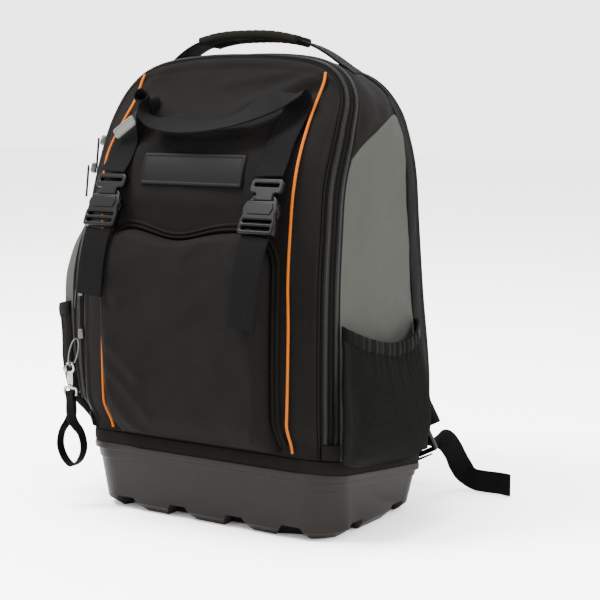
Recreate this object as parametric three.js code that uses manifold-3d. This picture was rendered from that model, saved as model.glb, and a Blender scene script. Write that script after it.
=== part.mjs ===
// A tool backpack on a moulded base, in millimetres. X is the viewer's right, the front
// faces -Y and Z is up. The origin is the middle of the flat sole.
import * as THREE from 'three';
import Module from 'manifold-3d';
import { mergeVertices } from 'three/addons/utils/BufferGeometryUtils.js';

const wasm = await Module();
wasm.setup();

// Moulded base
const baseWidth = 320;
const baseDepth = 206;
const baseCorner = 36;
const rimTopFront = 73;
const rimTopBack = 48;
const rimHeight = 8;
const rimProud = 3.5;
const soleInset = 18;
const soleCorner = 42;
const soleChamfer = 9;
const wallDraft = 5;
const tubWall = 3;
const notchWidth = 44;
const notchTopWidth = 20;
const notchHeight = 14;
const notchReach = 32;
const notchTurn = 22;
const notchesAcross = 4;
const notchPitch = 73;
const notchesDeep = 2;
const notchPitchDeep = 84;

// Cloth body
const bandHeight = 13;
const bandThick = 3;
const bandInset = 1;
const seamWidth = 290;
const rearSeamWidth = 304;
const frontReach = 105;
const rearReach = 86;
const archTop = 482;
const rearArchTop = 468;
const edgeLength = 50;
const edgeTopShare = 0.55;
const sideBulge = 5;
const frontCrown = 24;
const clothWall = 2.5;
const settleHeight = 38;
const padThick = 15;
const padCrown = 5;
const gap = 0.3;
const seat = 0.8;

// Zips, binding and piping
const zipWidth = 9;
const zipStart = 3;
const zipSpacing = 13;
const coilRise = 1.4;
const pipingRadius = 1.8;
const pipingOut = 116;

// Front pocket and label
const pocketHalfWidth = 99;
const pocketTop = 309;
const pocketBottomGap = 4;
const pocketCorner = 34;
const pocketDepth = 27;
const pocketEdge = 10;
const pocketDip = 11;
const pocketDipWidth = 42;
const pocketDipAt = -14;
const pocketDipFrom = 200;
const pocketWall = 2.5;
const pocketZipWidth = 9;
const pocketZipRise = 3;
const labelWidth = 126;
const labelHeight = 31;
const labelThick = 2.4;
const labelLow = 353;
const labelBorder = 3.5;

// Webbing, buckles and handle
const webWidth = 32;
const webThick = 1.8;
const strapOut = 96;
const buckleWidth = 41;
const buckleLength = 58;
const buckleThick = 9;
const buckleTopHeight = 361;
const buckleTilt = 26;
const buckleOff = 5.6;
const leftTail = 68;
const rightTail = 88;
const tagLength = 30;
const tagWidth = 11;
const tagThick = 2.6;
const tagTurn = 33;
const tagOut = 92;
const tagHeight = 400;
const tagOff = 13.6;
const handleSpan = 240;
const handleTop = 509;
const handleWidth = 28;
const handleDepthAt = 11;
const handleLean = 12;
const gripLength = 118;
const gripWidth = 36;
const gripThick = 9;

// Side pockets
const meshThick = 1.6;
const meshBulge = 27;
const meshForward = 28;
const meshSagShare = 0.18;
const meshRearStrip = 26;
const meshOverhang = 7;
const meshBandHeight = 12;
const meshBandThick = 2.6;

// Shoulder straps
const padStrapWidth = 66;
const padStrapThick = 12;
const tailWidth = 25;
const tailThick = 1.8;
const lockLength = 26;
const lockThick = 7;
const anchorOut = 138;
const anchorOff = -1.7;
const anchorDrop = 3;

// Snap hook and fob, hung from the lowest slider
const hookX = -158;
const hookY = -121;
const hookTop = 161;
const hookLength = 25;
const clawRadius = 6.6;
const clawWire = 2.6;
const hookThick = 3.4;
const gateThick = 2.6;
const gateWidth = 2;
const collarRadius = 3.2;
const collarHeight = 3;
const ringWidth = 19;
const ringHeight = 9.5;
const ringWire = 2.4;
const linkWire = 0.8;
const fobWebWidth = 10.5;
const fobLength = 78;
const fobWidth = 34;
const sliderLength = 11;
const sliderWidth = 9;
const sliderThick = 6;

// Front seam arch: share of its rise, share of half its width, share of the front's reach
const frontArch = [
  { up: 0.00, out: 1.000, reach: 1.000 },
  { up: 0.16, out: 1.006, reach: 1.030 },
  { up: 0.41, out: 1.006, reach: 1.020 },
  { up: 0.56, out: 1.000, reach: 0.960 },
  { up: 0.69, out: 0.980, reach: 0.850 },
  { up: 0.82, out: 0.975, reach: 0.640 },
  { up: 0.89, out: 0.948, reach: 0.490 },
  { up: 0.93, out: 0.888, reach: 0.415 },
  { up: 0.96, out: 0.795, reach: 0.370 },
  { up: 0.98, out: 0.655, reach: 0.335 },
  { up: 0.995, out: 0.370, reach: 0.310 },
  { up: 1.00, out: 0.000, reach: 0.300 },
];

// Section of the rounded front edges, in shares of its length along the cloth: how far it has
// gone out and back, on the taut side and where the left side sags
const edgeRows = [
  { along: 0.00, out: 0.00, back: 0.00, sagOut: 0.00, sagBack: 0.00 },
  { along: 0.10, out: 0.07, back: 0.07, sagOut: 0.06, sagBack: 0.07 },
  { along: 0.22, out: 0.13, back: 0.17, sagOut: 0.14, sagBack: 0.16 },
  { along: 0.40, out: 0.17, back: 0.35, sagOut: 0.32, sagBack: 0.23 },
  { along: 0.60, out: 0.19, back: 0.55, sagOut: 0.56, sagBack: 0.30 },
  { along: 0.80, out: 0.20, back: 0.75, sagOut: 0.74, sagBack: 0.42 },
  { along: 1.00, out: 0.20, back: 0.95, sagOut: 0.84, sagBack: 0.60 },
];

// How much the left side sags: share of rise, share of the full sag
const sagRows = [
  { up: 0.00, sag: 0.20 },
  { up: 0.04, sag: 0.50 },
  { up: 0.12, sag: 0.92 },
  { up: 0.22, sag: 1.12 },
  { up: 0.32, sag: 1.20 },
  { up: 0.42, sag: 1.18 },
  { up: 0.50, sag: 0.95 },
  { up: 0.57, sag: 0.62 },
  { up: 0.65, sag: 0.32 },
  { up: 0.72, sag: 0.22 },
  { up: 0.82, sag: 0.26 },
  { up: 0.92, sag: 0.22 },
  { up: 1.00, sag: 0.00 },
];

// Rear seam arch: share of its rise, share of half its width
const rearArch = [
  { up: 0.00, out: 0.990 },
  { up: 0.19, out: 1.000 },
  { up: 0.43, out: 0.940 },
  { up: 0.60, out: 0.905 },
  { up: 0.745, out: 0.875 },
  { up: 0.82, out: 0.830 },
  { up: 0.89, out: 0.760 },
  { up: 0.95, out: 0.625 },
  { up: 0.982, out: 0.450 },
  { up: 1.00, out: 0.000 },
];

// How far the middle of the front stands ahead of its seams: share of rise, share of crown
const crownRows = [
  { up: 0.00, crown: 0.30 },
  { up: 0.06, crown: 0.50 },
  { up: 0.16, crown: 0.55 },
  { up: 0.41, crown: 0.55 },
  { up: 0.58, crown: 0.72 },
  { up: 0.67, crown: 0.96 },
  { up: 0.75, crown: 1.00 },
  { up: 0.84, crown: 0.50 },
  { up: 0.90, crown: 0.20 },
  { up: 0.96, crown: 0.06 },
  { up: 1.00, crown: 0.00 },
];

// Orange piping on the front: share of rise, share of its distance from the middle on the
// right and on the left, where the sagging side draws it in
const pipingRows = [
  { up: 0.015, right: 0.99, left: 0.98 },
  { up: 0.06, right: 1.00, left: 0.975 },
  { up: 0.15, right: 1.02, left: 0.97 },
  { up: 0.33, right: 1.03, left: 0.97 },
  { up: 0.44, right: 1.02, left: 0.97 },
  { up: 0.56, right: 1.02, left: 0.975 },
  { up: 0.74, right: 1.02, left: 1.02 },
  { up: 0.82, right: 1.00, left: 1.00 },
  { up: 0.88, right: 0.985, left: 0.985 },
  { up: 0.935, right: 0.99, left: 0.99 },
  { up: 0.955, right: 0.98, left: 0.98 },
];

// The long strap from buckle to buckle over its sagging loop: share of its distance from the
// middle, share of the rise from buckle to arch, mm off the cloth, direction of its width
const loopRows = [
  { out: -1.00, up: 0.020, off: 8, across: [1, 0, 0] },
  { out: -1.00, up: 0.120, off: 2.4, across: [1, 0, 0] },
  { out: -1.00, up: 0.270, off: 2.4, across: [1, 0, 0] },
  { out: -0.96, up: 0.390, off: 10, across: [0.85, -0.52, 0] },
  { out: -0.90, up: 0.490, off: 16, across: [0.567, -0.824, 0] },
  { out: -0.84, up: 0.545, off: 18, across: [0.567, -0.824, 0] },
  { out: -0.77, up: 0.510, off: 19, across: [0.567, -0.824, 0] },
  { out: -0.71, up: 0.430, off: 19, across: [0.45, -0.88, -0.1] },
  { out: -0.55, up: 0.365, off: 18, across: [0.2, -0.92, -0.3] },
  { out: -0.28, up: 0.330, off: 17, across: [0.05, -0.93, -0.36] },
  { out: 0.00, up: 0.325, off: 17, across: [0, -0.93, -0.36] },
  { out: 0.30, up: 0.350, off: 17, across: [0.15, -0.92, -0.36] },
  { out: 0.56, up: 0.400, off: 19, across: [0.45, -0.8, -0.4] },
  { out: 0.76, up: 0.480, off: 20, across: [0.8, -0.45, -0.4] },
  { out: 0.93, up: 0.570, off: 18, across: [0.96, -0.1, -0.2] },
  { out: 1.00, up: 0.615, off: 11, across: [1, 0, 0] },
  { out: 1.02, up: 0.570, off: 5, across: [1, 0, 0] },
  { out: 1.01, up: 0.460, off: 2.4, across: [1, 0, 0] },
  { out: 1.00, up: 0.300, off: 2.4, across: [1, 0, 0] },
  { out: 1.00, up: 0.140, off: 2.4, across: [1, 0, 0] },
  { out: 1.00, up: 0.020, off: 8, across: [1, 0, 0] },
];

// Top handle: share of half its span, mm above the cloth
const handleRows = [
  { out: 0.00, lift: 22 },
  { out: 0.25, lift: 20.5 },
  { out: 0.53, lift: 16 },
  { out: 0.68, lift: 11.5 },
  { out: 0.80, lift: 7 },
  { out: 0.90, lift: 3.8 },
  { out: 1.00, lift: 3.6 },
];

// Free end of a shoulder strap: mm outward and back from its lock, share of the lock's height,
// direction of its width
const tailRows = [
  { out: 0, back: 2.3, rise: 1, across: [1, 0, 0] },
  { out: 0.6, back: 6, rise: 1.01, across: [1, 0, 0.1] },
  { out: 3, back: 20, rise: 1.06, across: [0.7, -0.1, 0.6] },
  { out: 9, back: 34, rise: 1, across: [0.3, 0, 1] },
  { out: 14, back: 45, rise: 0.72, across: [0.05, 0, 1] },
  { out: 19, back: 52, rise: 0.36, across: [0, 0, 1] },
  { out: 26, back: 56, rise: 0.1, across: [0, 0, 1] },
  { out: 36, back: 56, rise: 0, across: [0, 0, 1] },
  { out: 52, back: 53, rise: 0, across: [0, 0, 1] },
  { out: 68, back: 54, rise: 0, across: [0, 0, 1] },
  { out: 82, back: 51, rise: 0, across: [0, 0, 1] },
];

// Zip sliders on the left: height, which zip, length of the pull and how far it stands off
const sliderRows = [
  { name: 'one', height: 396, zip: 'main', pull: 38, off: 3.7 },
  { name: 'two', height: 366, zip: 'front', pull: 34, off: 3.5 },
  { name: 'three', height: 236, zip: 'front', pull: 20, off: 1.6 },
  { name: 'four', height: 190, zip: 'front', pull: 0, off: 0 },
];

// Fob loop below its ring: share of length, share of half width, share of a quarter twist
const fobRows = [
  { down: -0.015, wide: 0.165, twist: 0.00 },
  { down: 0.03, wide: 0.15, twist: 0.00 },
  { down: 0.09, wide: 0.11, twist: 0.00 },
  { down: 0.22, wide: 0.12, twist: 0.15 },
  { down: 0.36, wide: 0.45, twist: 0.60 },
  { down: 0.52, wide: 0.82, twist: 0.95 },
  { down: 0.72, wide: 0.98, twist: 1.00 },
  { down: 0.88, wide: 0.72, twist: 1.00 },
  { down: 0.97, wide: 0.32, twist: 1.00 },
];

// Upper edge of the grey side panels: share of depth, share of the arch from its top
const sideTopRows = [
  { deep: 0.00, along: 0.500 },
  { deep: 0.16, along: 0.405 },
  { deep: 0.42, along: 0.345 },
  { deep: 0.75, along: 0.295 },
  { deep: 1.00, along: 0.275 },
];

// Front pocket bulge by height: share of height, share of depth
const pocketRows = [
  { up: 0.00, bulge: 0.40 },
  { up: 0.12, bulge: 0.62 },
  { up: 0.45, bulge: 0.92 },
  { up: 0.80, bulge: 1.00 },
  { up: 1.00, bulge: 0.78 },
];

// Mouth of the side pockets: share of depth, share of the arch from its top
const mouthRows = [
  { deep: 0.00, along: 0.755 },
  { deep: 0.22, along: 0.775 },
  { deep: 0.50, along: 0.785 },
  { deep: 0.78, along: 0.772 },
  { deep: 1.00, along: 0.735 },
];

// Side pocket bulge by height, from the mouth down: share of height, share of bulge
const meshRows = [
  { down: 0.00, bulge: 0.42 },
  { down: 0.25, bulge: 0.66 },
  { down: 0.60, bulge: 1.00 },
  { down: 0.85, bulge: 0.82 },
  { down: 0.95, bulge: 0.45 },
  { down: 1.00, bulge: 0.00 },
];

// Shoulder strap down the back: share of rear rise, share of rear half width, mm off the pad
const strapRows = [
  { up: 0.93, out: 0.30, off: 3.9 },
  { up: 0.89, out: 0.38, off: 9 },
  { up: 0.80, out: 0.50, off: 14 },
  { up: 0.66, out: 0.57, off: 11 },
  { up: 0.48, out: 0.57, off: 9 },
  { up: 0.30, out: 0.60, off: 9 },
  { up: 0.15, out: 0.70, off: 11 },
  { up: 0.025, out: 0.87, off: 12 },
];

const archSteps = [0, 0.08, 0.15, 0.2, 0.245, 0.29, 0.34, 0.4, 0.5, 0.62, 0.74, 0.84, 0.91, 0.96, 1];

const cloth = { color: 0x1b1a19, roughness: 0.93, metalness: 0 };
const greyCloth = { color: 0x6f706a, roughness: 0.9, metalness: 0 };
const moulding = { color: 0x433f3b, roughness: 0.62, metalness: 0 };
const webbing = { color: 0x201f1e, roughness: 0.88, metalness: 0 };
const hardPlastic = { color: 0x1d1c1c, roughness: 0.45, metalness: 0 };
const rubber = { color: 0x171616, roughness: 0.6, metalness: 0 };
const orangeCord = { color: 0xe1893c, roughness: 0.7, metalness: 0 };
const netting = { color: 0x242422, roughness: 0.95, metalness: 0 };
const coil = { color: 0x232221, roughness: 0.55, metalness: 0 };
const darkMetal = { color: 0x45443f, roughness: 0.35, metalness: 0.85 };
const greyRubber = { color: 0x8c8c86, roughness: 0.6, metalness: 0 };

const bag = new THREE.Group();
const at = (x, y, z) => new THREE.Vector3(x, y, z);
const mix = (a, b, t) => a + (b - a) * t;
const mixed = (p, q, t) => p.clone().lerp(q, t);
const steps = (count, low = 0, high = 1) => (
  Array.from({ length: count + 1 }, (_, i) => mix(low, high, i / count))
);
const bothSides = (list) => [...list.slice(1).reverse().map((v) => -v), ...list];
const sides = [['left', -1], ['right', 1]];

function add(name, geometry, finish) {
  const mesh = new THREE.Mesh(geometry, new THREE.MeshStandardMaterial(finish));
  mesh.name = name;
  bag.add(mesh);
  return mesh;
}

// Smooth curve through the rows of a table, from one column to another
function tableCurve(rows, key, value) {
  const slope = (i) => {
    const a = rows[Math.max(i - 1, 0)];
    const b = rows[Math.min(i + 1, rows.length - 1)];
    return (b[value] - a[value]) / (b[key] - a[key]);
  };
  return (x) => {
    const last = rows.length - 1;
    const clamped = Math.min(Math.max(x, rows[0][key]), rows[last][key]);
    let i = 0;
    while (i < last - 1 && rows[i + 1][key] < clamped) i += 1;
    const span = rows[i + 1][key] - rows[i][key];
    const t = (clamped - rows[i][key]) / span;
    const rise = rows[i + 1][value] - rows[i][value];
    const a = slope(i) * span;
    const b = slope(i + 1) * span;
    return rows[i][value] + t * a + t * t * (3 * rise - 2 * a - b) + t * t * t * (a + b - 2 * rise);
  };
}

// Closed body from vertices and triangles, turned so that its faces point out
function body(points, triangles) {
  let volume = 0;
  for (const [a, b, c] of triangles) {
    volume += points[a].dot(points[b].clone().cross(points[c]));
  }
  const turned = volume < 0 ? triangles.map(([a, b, c]) => [a, c, b]) : triangles;
  const geometry = new THREE.BufferGeometry();
  geometry.setAttribute('position', new THREE.Float32BufferAttribute(
    points.flatMap((p) => [p.x, p.y, p.z]), 3));
  geometry.setIndex(turned.flat());
  return geometry;
}

// Sheet between two surfaces over the same grid of values
function sheet(us, vs, outer, inner) {
  const points = [];
  for (const face of [outer, inner]) {
    for (const u of us) {
      for (const v of vs) points.push(face(u, v));
    }
  }
  const columns = vs.length;
  const layer = us.length * columns;
  const id = (i, j, side) => side * layer + i * columns + j;
  const triangles = [];
  const quad = (a, b, c, d) => triangles.push([a, b, c], [a, c, d]);
  for (let i = 0; i < us.length - 1; i += 1) {
    for (let j = 0; j < columns - 1; j += 1) {
      quad(id(i, j, 0), id(i + 1, j, 0), id(i + 1, j + 1, 0), id(i, j + 1, 0));
      quad(id(i, j, 1), id(i, j + 1, 1), id(i + 1, j + 1, 1), id(i + 1, j, 1));
    }
  }
  const rim = [];
  for (let i = 0; i < us.length - 1; i += 1) rim.push([i, 0]);
  for (let j = 0; j < columns - 1; j += 1) rim.push([us.length - 1, j]);
  for (let i = us.length - 1; i > 0; i -= 1) rim.push([i, columns - 1]);
  for (let j = columns - 1; j > 0; j -= 1) rim.push([0, j]);
  rim.forEach(([i, j], k) => {
    const [m, n] = rim[(k + 1) % rim.length];
    quad(id(m, n, 0), id(i, j, 0), id(i, j, 1), id(m, n, 1));
  });
  return body(points, triangles);
}

// Body through rings of points: capped at its ends, or joined into a loop
function loft(rings, closed = false) {
  const count = rings[0].length;
  const points = rings.flat();
  const triangles = [];
  const last = closed ? rings.length : rings.length - 1;
  for (let i = 0; i < last; i += 1) {
    const next = (i + 1) % rings.length;
    for (let j = 0; j < count; j += 1) {
      const k = (j + 1) % count;
      const [a, b] = [i * count + j, i * count + k];
      const [c, d] = [next * count + k, next * count + j];
      triangles.push([a, b, c], [a, c, d]);
    }
  }
  if (!closed) {
    const end = (rings.length - 1) * count;
    for (let j = 1; j < count - 1; j += 1) {
      triangles.push([0, j + 1, j], [end, end + j, end + j + 1]);
    }
  }
  return body(points, triangles);
}

// Flat strap along rows of a centre point and the direction across its width
function ribbon(rows, count, width, thick, bevel = 0) {
  const path = new THREE.CatmullRomCurve3(rows.map((r) => r.centre), false, 'centripetal');
  const lean = new THREE.CatmullRomCurve3(rows.map((r) => r.across), false, 'catmullrom');
  const rings = steps(count).map((t) => {
    const p = path.getPoint(t);
    const along = path.getTangent(t);
    const across = lean.getPoint(t);
    across.addScaledVector(along, -across.dot(along)).normalize();
    const face = along.clone().cross(across);
    const [x, y] = [width / 2, thick / 2];
    const square = [[-x, -y], [x, -y], [x, y], [-x, y]];
    const soft = [
      [-x + bevel, -y], [x - bevel, -y], [x, -y + bevel], [x, y - bevel],
      [x - bevel, y], [-x + bevel, y], [-x, y - bevel], [-x, -y + bevel],
    ];
    return (bevel ? soft : square).map(([a, n]) => (
      p.clone().addScaledVector(across, a).addScaledVector(face, n)
    ));
  });
  return loft(rings);
}

// Round wire or cord through points: open and capped, or joined into a loop
function wire(points, radius, closed = false) {
  const count = points.length;
  const facets = 6;
  return loft(points.map((p, i) => {
    const next = closed ? (i + 1) % count : Math.min(i + 1, count - 1);
    const last = closed ? (i + count - 1) % count : Math.max(i - 1, 0);
    const along = points[next].clone().sub(points[last]).normalize();
    const side = at(1, 0, 0).addScaledVector(along, -along.x).normalize();
    const face = along.clone().cross(side);
    return steps(facets).slice(0, facets).map((t) => {
      const turn = t * 2 * Math.PI;
      return p.clone().addScaledVector(side, radius * Math.cos(turn))
        .addScaledVector(face, radius * Math.sin(turn));
    });
  }), closed);
}

// Outline with rounded corners, as a shape or as a hole in one
function roundedPath(width, height, corner, Kind = THREE.Shape) {
  const [x, y] = [width / 2, height / 2];
  const path = new Kind();
  path.moveTo(-x + corner, -y);
  path.lineTo(x - corner, -y);
  path.absarc(x - corner, -y + corner, corner, -Math.PI / 2, 0, false);
  path.lineTo(x, y - corner);
  path.absarc(x - corner, y - corner, corner, 0, Math.PI / 2, false);
  path.lineTo(-x + corner, y);
  path.absarc(-x + corner, y - corner, corner, Math.PI / 2, Math.PI, false);
  path.lineTo(-x, -y + corner);
  path.absarc(-x + corner, -y + corner, corner, Math.PI, Math.PI * 1.5, false);
  return path;
}

function solidOf(geometry) {
  const bare = geometry.clone();
  bare.deleteAttribute('normal');
  bare.deleteAttribute('uv');
  const merged = mergeVertices(bare, 1e-4);
  return new wasm.Manifold(new wasm.Mesh({
    numProp: 3,
    vertProperties: new Float32Array(merged.attributes.position.array),
    triVerts: new Uint32Array(merged.index.array),
  }));
}

function geometryOf(solid) {
  const mesh = solid.getMesh();
  const geometry = new THREE.BufferGeometry();
  geometry.setAttribute('position', new THREE.BufferAttribute(
    Float32Array.from(mesh.vertProperties), 3));
  geometry.setIndex(new THREE.BufferAttribute(Uint32Array.from(mesh.triVerts), 1));
  return geometry;
}

// Rounded rectangle in plan, at a distance inside the rim's outline
function planRing(inset, corner, heightAt, facets = 4) {
  const [x, y] = [baseWidth / 2 - inset - corner, baseDepth / 2 - inset - corner];
  const corners = [[x, -y, -90], [x, y, 0], [-x, y, 90], [-x, -y, 180]];
  return corners.flatMap(([cx, cy, start]) => steps(facets).map((t) => {
    const turn = THREE.MathUtils.degToRad(start + 90 * t);
    const [px, py] = [cx + corner * Math.cos(turn), cy + corner * Math.sin(turn)];
    return at(px, py, heightAt(py));
  }));
}

const rimTopAt = (y) => mix(rimTopFront, rimTopBack, y / baseDepth + 0.5);
const footAt = (y) => rimTopAt(y) + bandHeight + 2 * gap;

// The tray: an outer form, less its cavity and the tread notches round the sole
function baseTub() {
  const wallInset = rimProud + wallDraft;
  const lowCorner = baseCorner + 4;
  const outer = loft([
    planRing(soleInset, soleCorner, () => 0),
    planRing(wallInset, lowCorner, () => soleChamfer),
    planRing(rimProud, baseCorner, (y) => rimTopAt(y) - rimHeight),
    planRing(0, baseCorner, (y) => rimTopAt(y) - rimHeight + 1),
    planRing(0, baseCorner, (y) => rimTopAt(y)),
  ]);
  const cavity = loft([
    planRing(soleInset + tubWall, soleCorner, () => tubWall),
    planRing(wallInset + tubWall, lowCorner, () => soleChamfer + tubWall),
    planRing(rimProud + tubWall, baseCorner, (y) => rimTopAt(y) - rimHeight),
    planRing(rimProud + tubWall, baseCorner, (y) => rimTopAt(y) + 1),
  ]);
  let tub = solidOf(outer);
  let hollow = solidOf(cavity);
  notches(0).forEach((cutter) => {
    tub = tub.subtract(cutter);
  });
  notches(tubWall).forEach((cutter) => {
    hollow = hollow.subtract(cutter);
  });
  return geometryOf(tub.subtract(hollow));
}

// Trapezoid scoops across the sole's edge; grown by a wall, the same scoops shape the cavity
function notches(grown) {
  const below = 5;
  const shape = new THREE.Shape();
  const [top, low] = [notchTopWidth / 2 + grown, notchWidth / 2 + grown];
  shape.moveTo(-low, -below);
  shape.lineTo(low, -below);
  shape.lineTo(top, notchHeight + grown);
  shape.lineTo(-top, notchHeight + grown);
  const depth = notchReach + grown + soleInset;
  const block = new THREE.ExtrudeGeometry(shape, { depth, bevelEnabled: false });
  block.rotateX(Math.PI / 2);
  block.translate(0, notchReach + grown, 0);
  const places = [];
  for (let i = 0; i < notchesAcross; i += 1) {
    const share = i / (notchesAcross - 1) * 2 - 1;
    const x = share * notchPitch * (notchesAcross - 1) / 2;
    const turn = notchTurn * Math.sign(share) * Math.max(Math.abs(share) * 2 - 1, 0);
    places.push([x, -baseDepth / 2, turn], [x, baseDepth / 2, 180 - turn]);
  }
  for (let i = 0; i < notchesDeep; i += 1) {
    const y = (i - (notchesDeep - 1) / 2) * notchPitchDeep;
    places.push([baseWidth / 2, y, 90], [-baseWidth / 2, y, 270]);
  }
  return places.map(([x, y, turn]) => {
    const cutter = block.clone();
    cutter.rotateZ(THREE.MathUtils.degToRad(turn));
    cutter.translate(x, y, 0);
    return solidOf(cutter);
  });
}

// Front and rear seams
const reachAt = tableCurve(frontArch, 'up', 'reach');
const crownAt = tableCurve(crownRows, 'up', 'crown');
const frontFoot = footAt(-frontReach);
const rearFoot = footAt(rearReach);
const upShare = (z) => (z - frontFoot) / (archTop - frontFoot);
const seamDepth = (z) => -frontReach * reachAt(upShare(z));

function archCurve(rows, foot, top, width) {
  const half = rows.map((row) => [row.out * width / 2, mix(foot, top, row.up)]);
  const left = half.map(([x, z]) => at(-x, 0, z));
  const right = half.slice(0, -1).reverse().map(([x, z]) => at(x, 0, z));
  const curve = new THREE.CatmullRomCurve3([...left, ...right], false, 'centripetal');
  curve.arcLengthDivisions = 800;
  return curve;
}

const frontCurve = archCurve(frontArch, frontFoot, archTop, seamWidth);
const rearCurve = archCurve(rearArch, rearFoot, rearArchTop, rearSeamWidth);

// u runs from -1 at the left foot over 0 at the top to 1 at the right foot
function frontSeam(u) {
  const p = frontCurve.getPointAt((u + 1) / 2);
  return at(p.x, seamDepth(p.z), p.z);
}

function rearSeam(u) {
  const p = rearCurve.getPointAt((u + 1) / 2);
  return at(p.x, rearReach, p.z);
}

function archNormal(u) {
  const share = Math.min(Math.max((u + 1) / 2, 0.001), 0.999);
  const t = frontCurve.getTangentAt(share).lerp(rearCurve.getTangentAt(share), 0.5);
  return at(-t.z, 0, t.x).normalize();
}

// Pulls the lowest stretch of the cloth in to the binding on the tray
function settle(p) {
  const above = (p.z - footAt(p.y)) / settleHeight;
  const share = Math.min(Math.max(above, 0), 1);
  const free = share * share * (3 - 2 * share);
  if (free === 1) return p;
  const inset = bandInset + 0.5;
  const radius = baseCorner - inset;
  const coreX = baseWidth / 2 - baseCorner;
  const coreY = baseDepth / 2 - baseCorner;
  const core = at(
    Math.min(Math.max(p.x, -coreX), coreX),
    Math.min(Math.max(p.y, -coreY), coreY),
    p.z,
  );
  const away = p.clone().sub(core).setZ(0).normalize();
  return mixed(core.addScaledVector(away, radius), p, free);
}

// Section of the rounded edge at a place on the arch: how far out and back it has gone
const edgeColumn = (key) => tableCurve(edgeRows, 'along', key);
const [edgeOut, edgeBack] = [edgeColumn('out'), edgeColumn('back')];
const [sagOut, sagBack] = [edgeColumn('sagOut'), edgeColumn('sagBack')];
const sagAt = tableCurve(sagRows, 'up', 'sag');
const sagOf = (u) => (u < 0 ? sagAt(upShare(frontSeam(u).z)) : 0);

function edgeAt(u, g) {
  const share = Math.min(Math.max(g / edgeLength, 0), 1);
  const sag = sagOf(u);
  return [
    edgeLength * mix(edgeOut(share), sagOut(share), sag),
    edgeLength * mix(edgeBack(share), sagBack(share), sag),
  ];
}

const seamSpan = (u) => rearSeam(u).distanceTo(frontSeam(u));
const gussetLength = (u) => edgeLength + seamSpan(u) - edgeAt(u, edgeLength)[1];

// A point of the side and top cloth, g millimetres along the cloth behind the front seam
function gussetPoint(u, g) {
  const depth = seamSpan(u);
  const side = Math.min(Math.abs(u) * 2.4, 1);
  const [out, start] = edgeAt(u, g);
  const rear = Math.max(g - edgeLength, 0);
  const back = start + rear;
  const share = Math.min(rear / (depth - start), 1);
  const even = share * share * (3 - 2 * share);
  const rearOut = edgeLength * edgeRows[edgeRows.length - 1].out;
  const swell = sideBulge * side * Math.sin(Math.PI * Math.min(back / depth, 1));
  const p = frontSeam(u).lerp(rearSeam(u), back / depth);
  const rise = mix(out, rearOut, even) * mix(edgeTopShare, 1, side);
  return settle(p.addScaledVector(archNormal(u), rise + swell));
}

// Keeps a point above the binding
function keepUp(p) {
  return p.setZ(Math.max(p.z, footAt(p.y)));
}

function surfaceNormal(surface, u, g, du, dg) {
  const along = surface(u + du, g).sub(surface(u - du, g));
  const across = surface(u, g + dg).sub(surface(u, g - dg));
  return along.cross(across).normalize();
}

function gusset(u, g, lift = 0) {
  const safe = Math.min(Math.max(u, -0.999), 0.999);
  const n = surfaceNormal(gussetPoint, safe, Math.max(g, 0.2), 0.001, 0.2);
  const out = n.dot(archNormal(safe).addScaledVector(at(0, -1, 0), 0.6)) < 0 ? -1 : 1;
  return keepUp(gussetPoint(u, g).addScaledVector(n, lift * out));
}

// Share of the whole seam-to-seam depth at which a point of the cloth lies
const deepShare = (u, g) => (edgeAt(u, g)[1] + Math.max(g - edgeLength, 0)) / seamSpan(u);

// Front cloth: its depth at a place, and the place itself lifted off the cloth
function frontDepth(x, z) {
  const up = Math.min(Math.max(upShare(z), 0), 1);
  const half = Math.max(tableCurve(frontArch, 'up', 'out')(up) * seamWidth / 2, 1);
  const middle = 1 - Math.min(Math.abs(x) / half, 1) ** 6;
  return seamDepth(z) - frontCrown * crownAt(up) * middle;
}

const frontPoint = (x, z) => settle(at(x, frontDepth(x, z), z));

function front(x, z, lift = 0) {
  const n = surfaceNormal(frontPoint, x, z, 0.5, 0.5);
  return keepUp(frontPoint(x, z).addScaledVector(n, n.y > 0 ? -lift : lift));
}

// Grid over an arch: s from -1 to 1 across, v from 0 at the foot to 1 at the top
function archGrid(curve, s, v, inset) {
  const corner = 0.27;
  const edge = (u) => {
    const p = curve.getPointAt((u + 1) / 2);
    const t = curve.getTangentAt(Math.min(Math.max((u + 1) / 2, 0.001), 0.999));
    return at(p.x, 0, p.z).addScaledVector(at(-t.z, 0, t.x).normalize(), -inset);
  };
  const [left, right] = [edge(mix(-1, -corner, v)), edge(mix(1, corner, v))];
  const top = edge(s * corner);
  const [lowLeft, lowRight] = [edge(-1), edge(1)];
  const low = mixed(lowLeft, lowRight, (s + 1) / 2);
  const a = (s + 1) / 2;
  const p = mixed(left, right, a).add(mixed(low, top, v));
  const flat = mixed(
    mixed(lowLeft, lowRight, a),
    mixed(edge(-corner), edge(corner), a),
    v,
  );
  return p.sub(flat);
}

const gridAcross = bothSides([0, 0.45, 0.74, 0.89, 0.97, 1]);
const gridUp = [
  0, 0.02, 0.04, 0.055, 0.07, 0.085, 0.1, 0.13, 0.2, 0.32, 0.46, 0.58, 0.66, 0.74, 0.8, 0.87, 0.94,
  1,
];

function frontPanel() {
  const face = (lift) => (s, v) => {
    const p = archGrid(frontCurve, s, v, clothWall + gap);
    return front(p.x, p.z, lift);
  };
  return sheet(gridAcross, gridUp, face(0), face(-clothWall));
}

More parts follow.
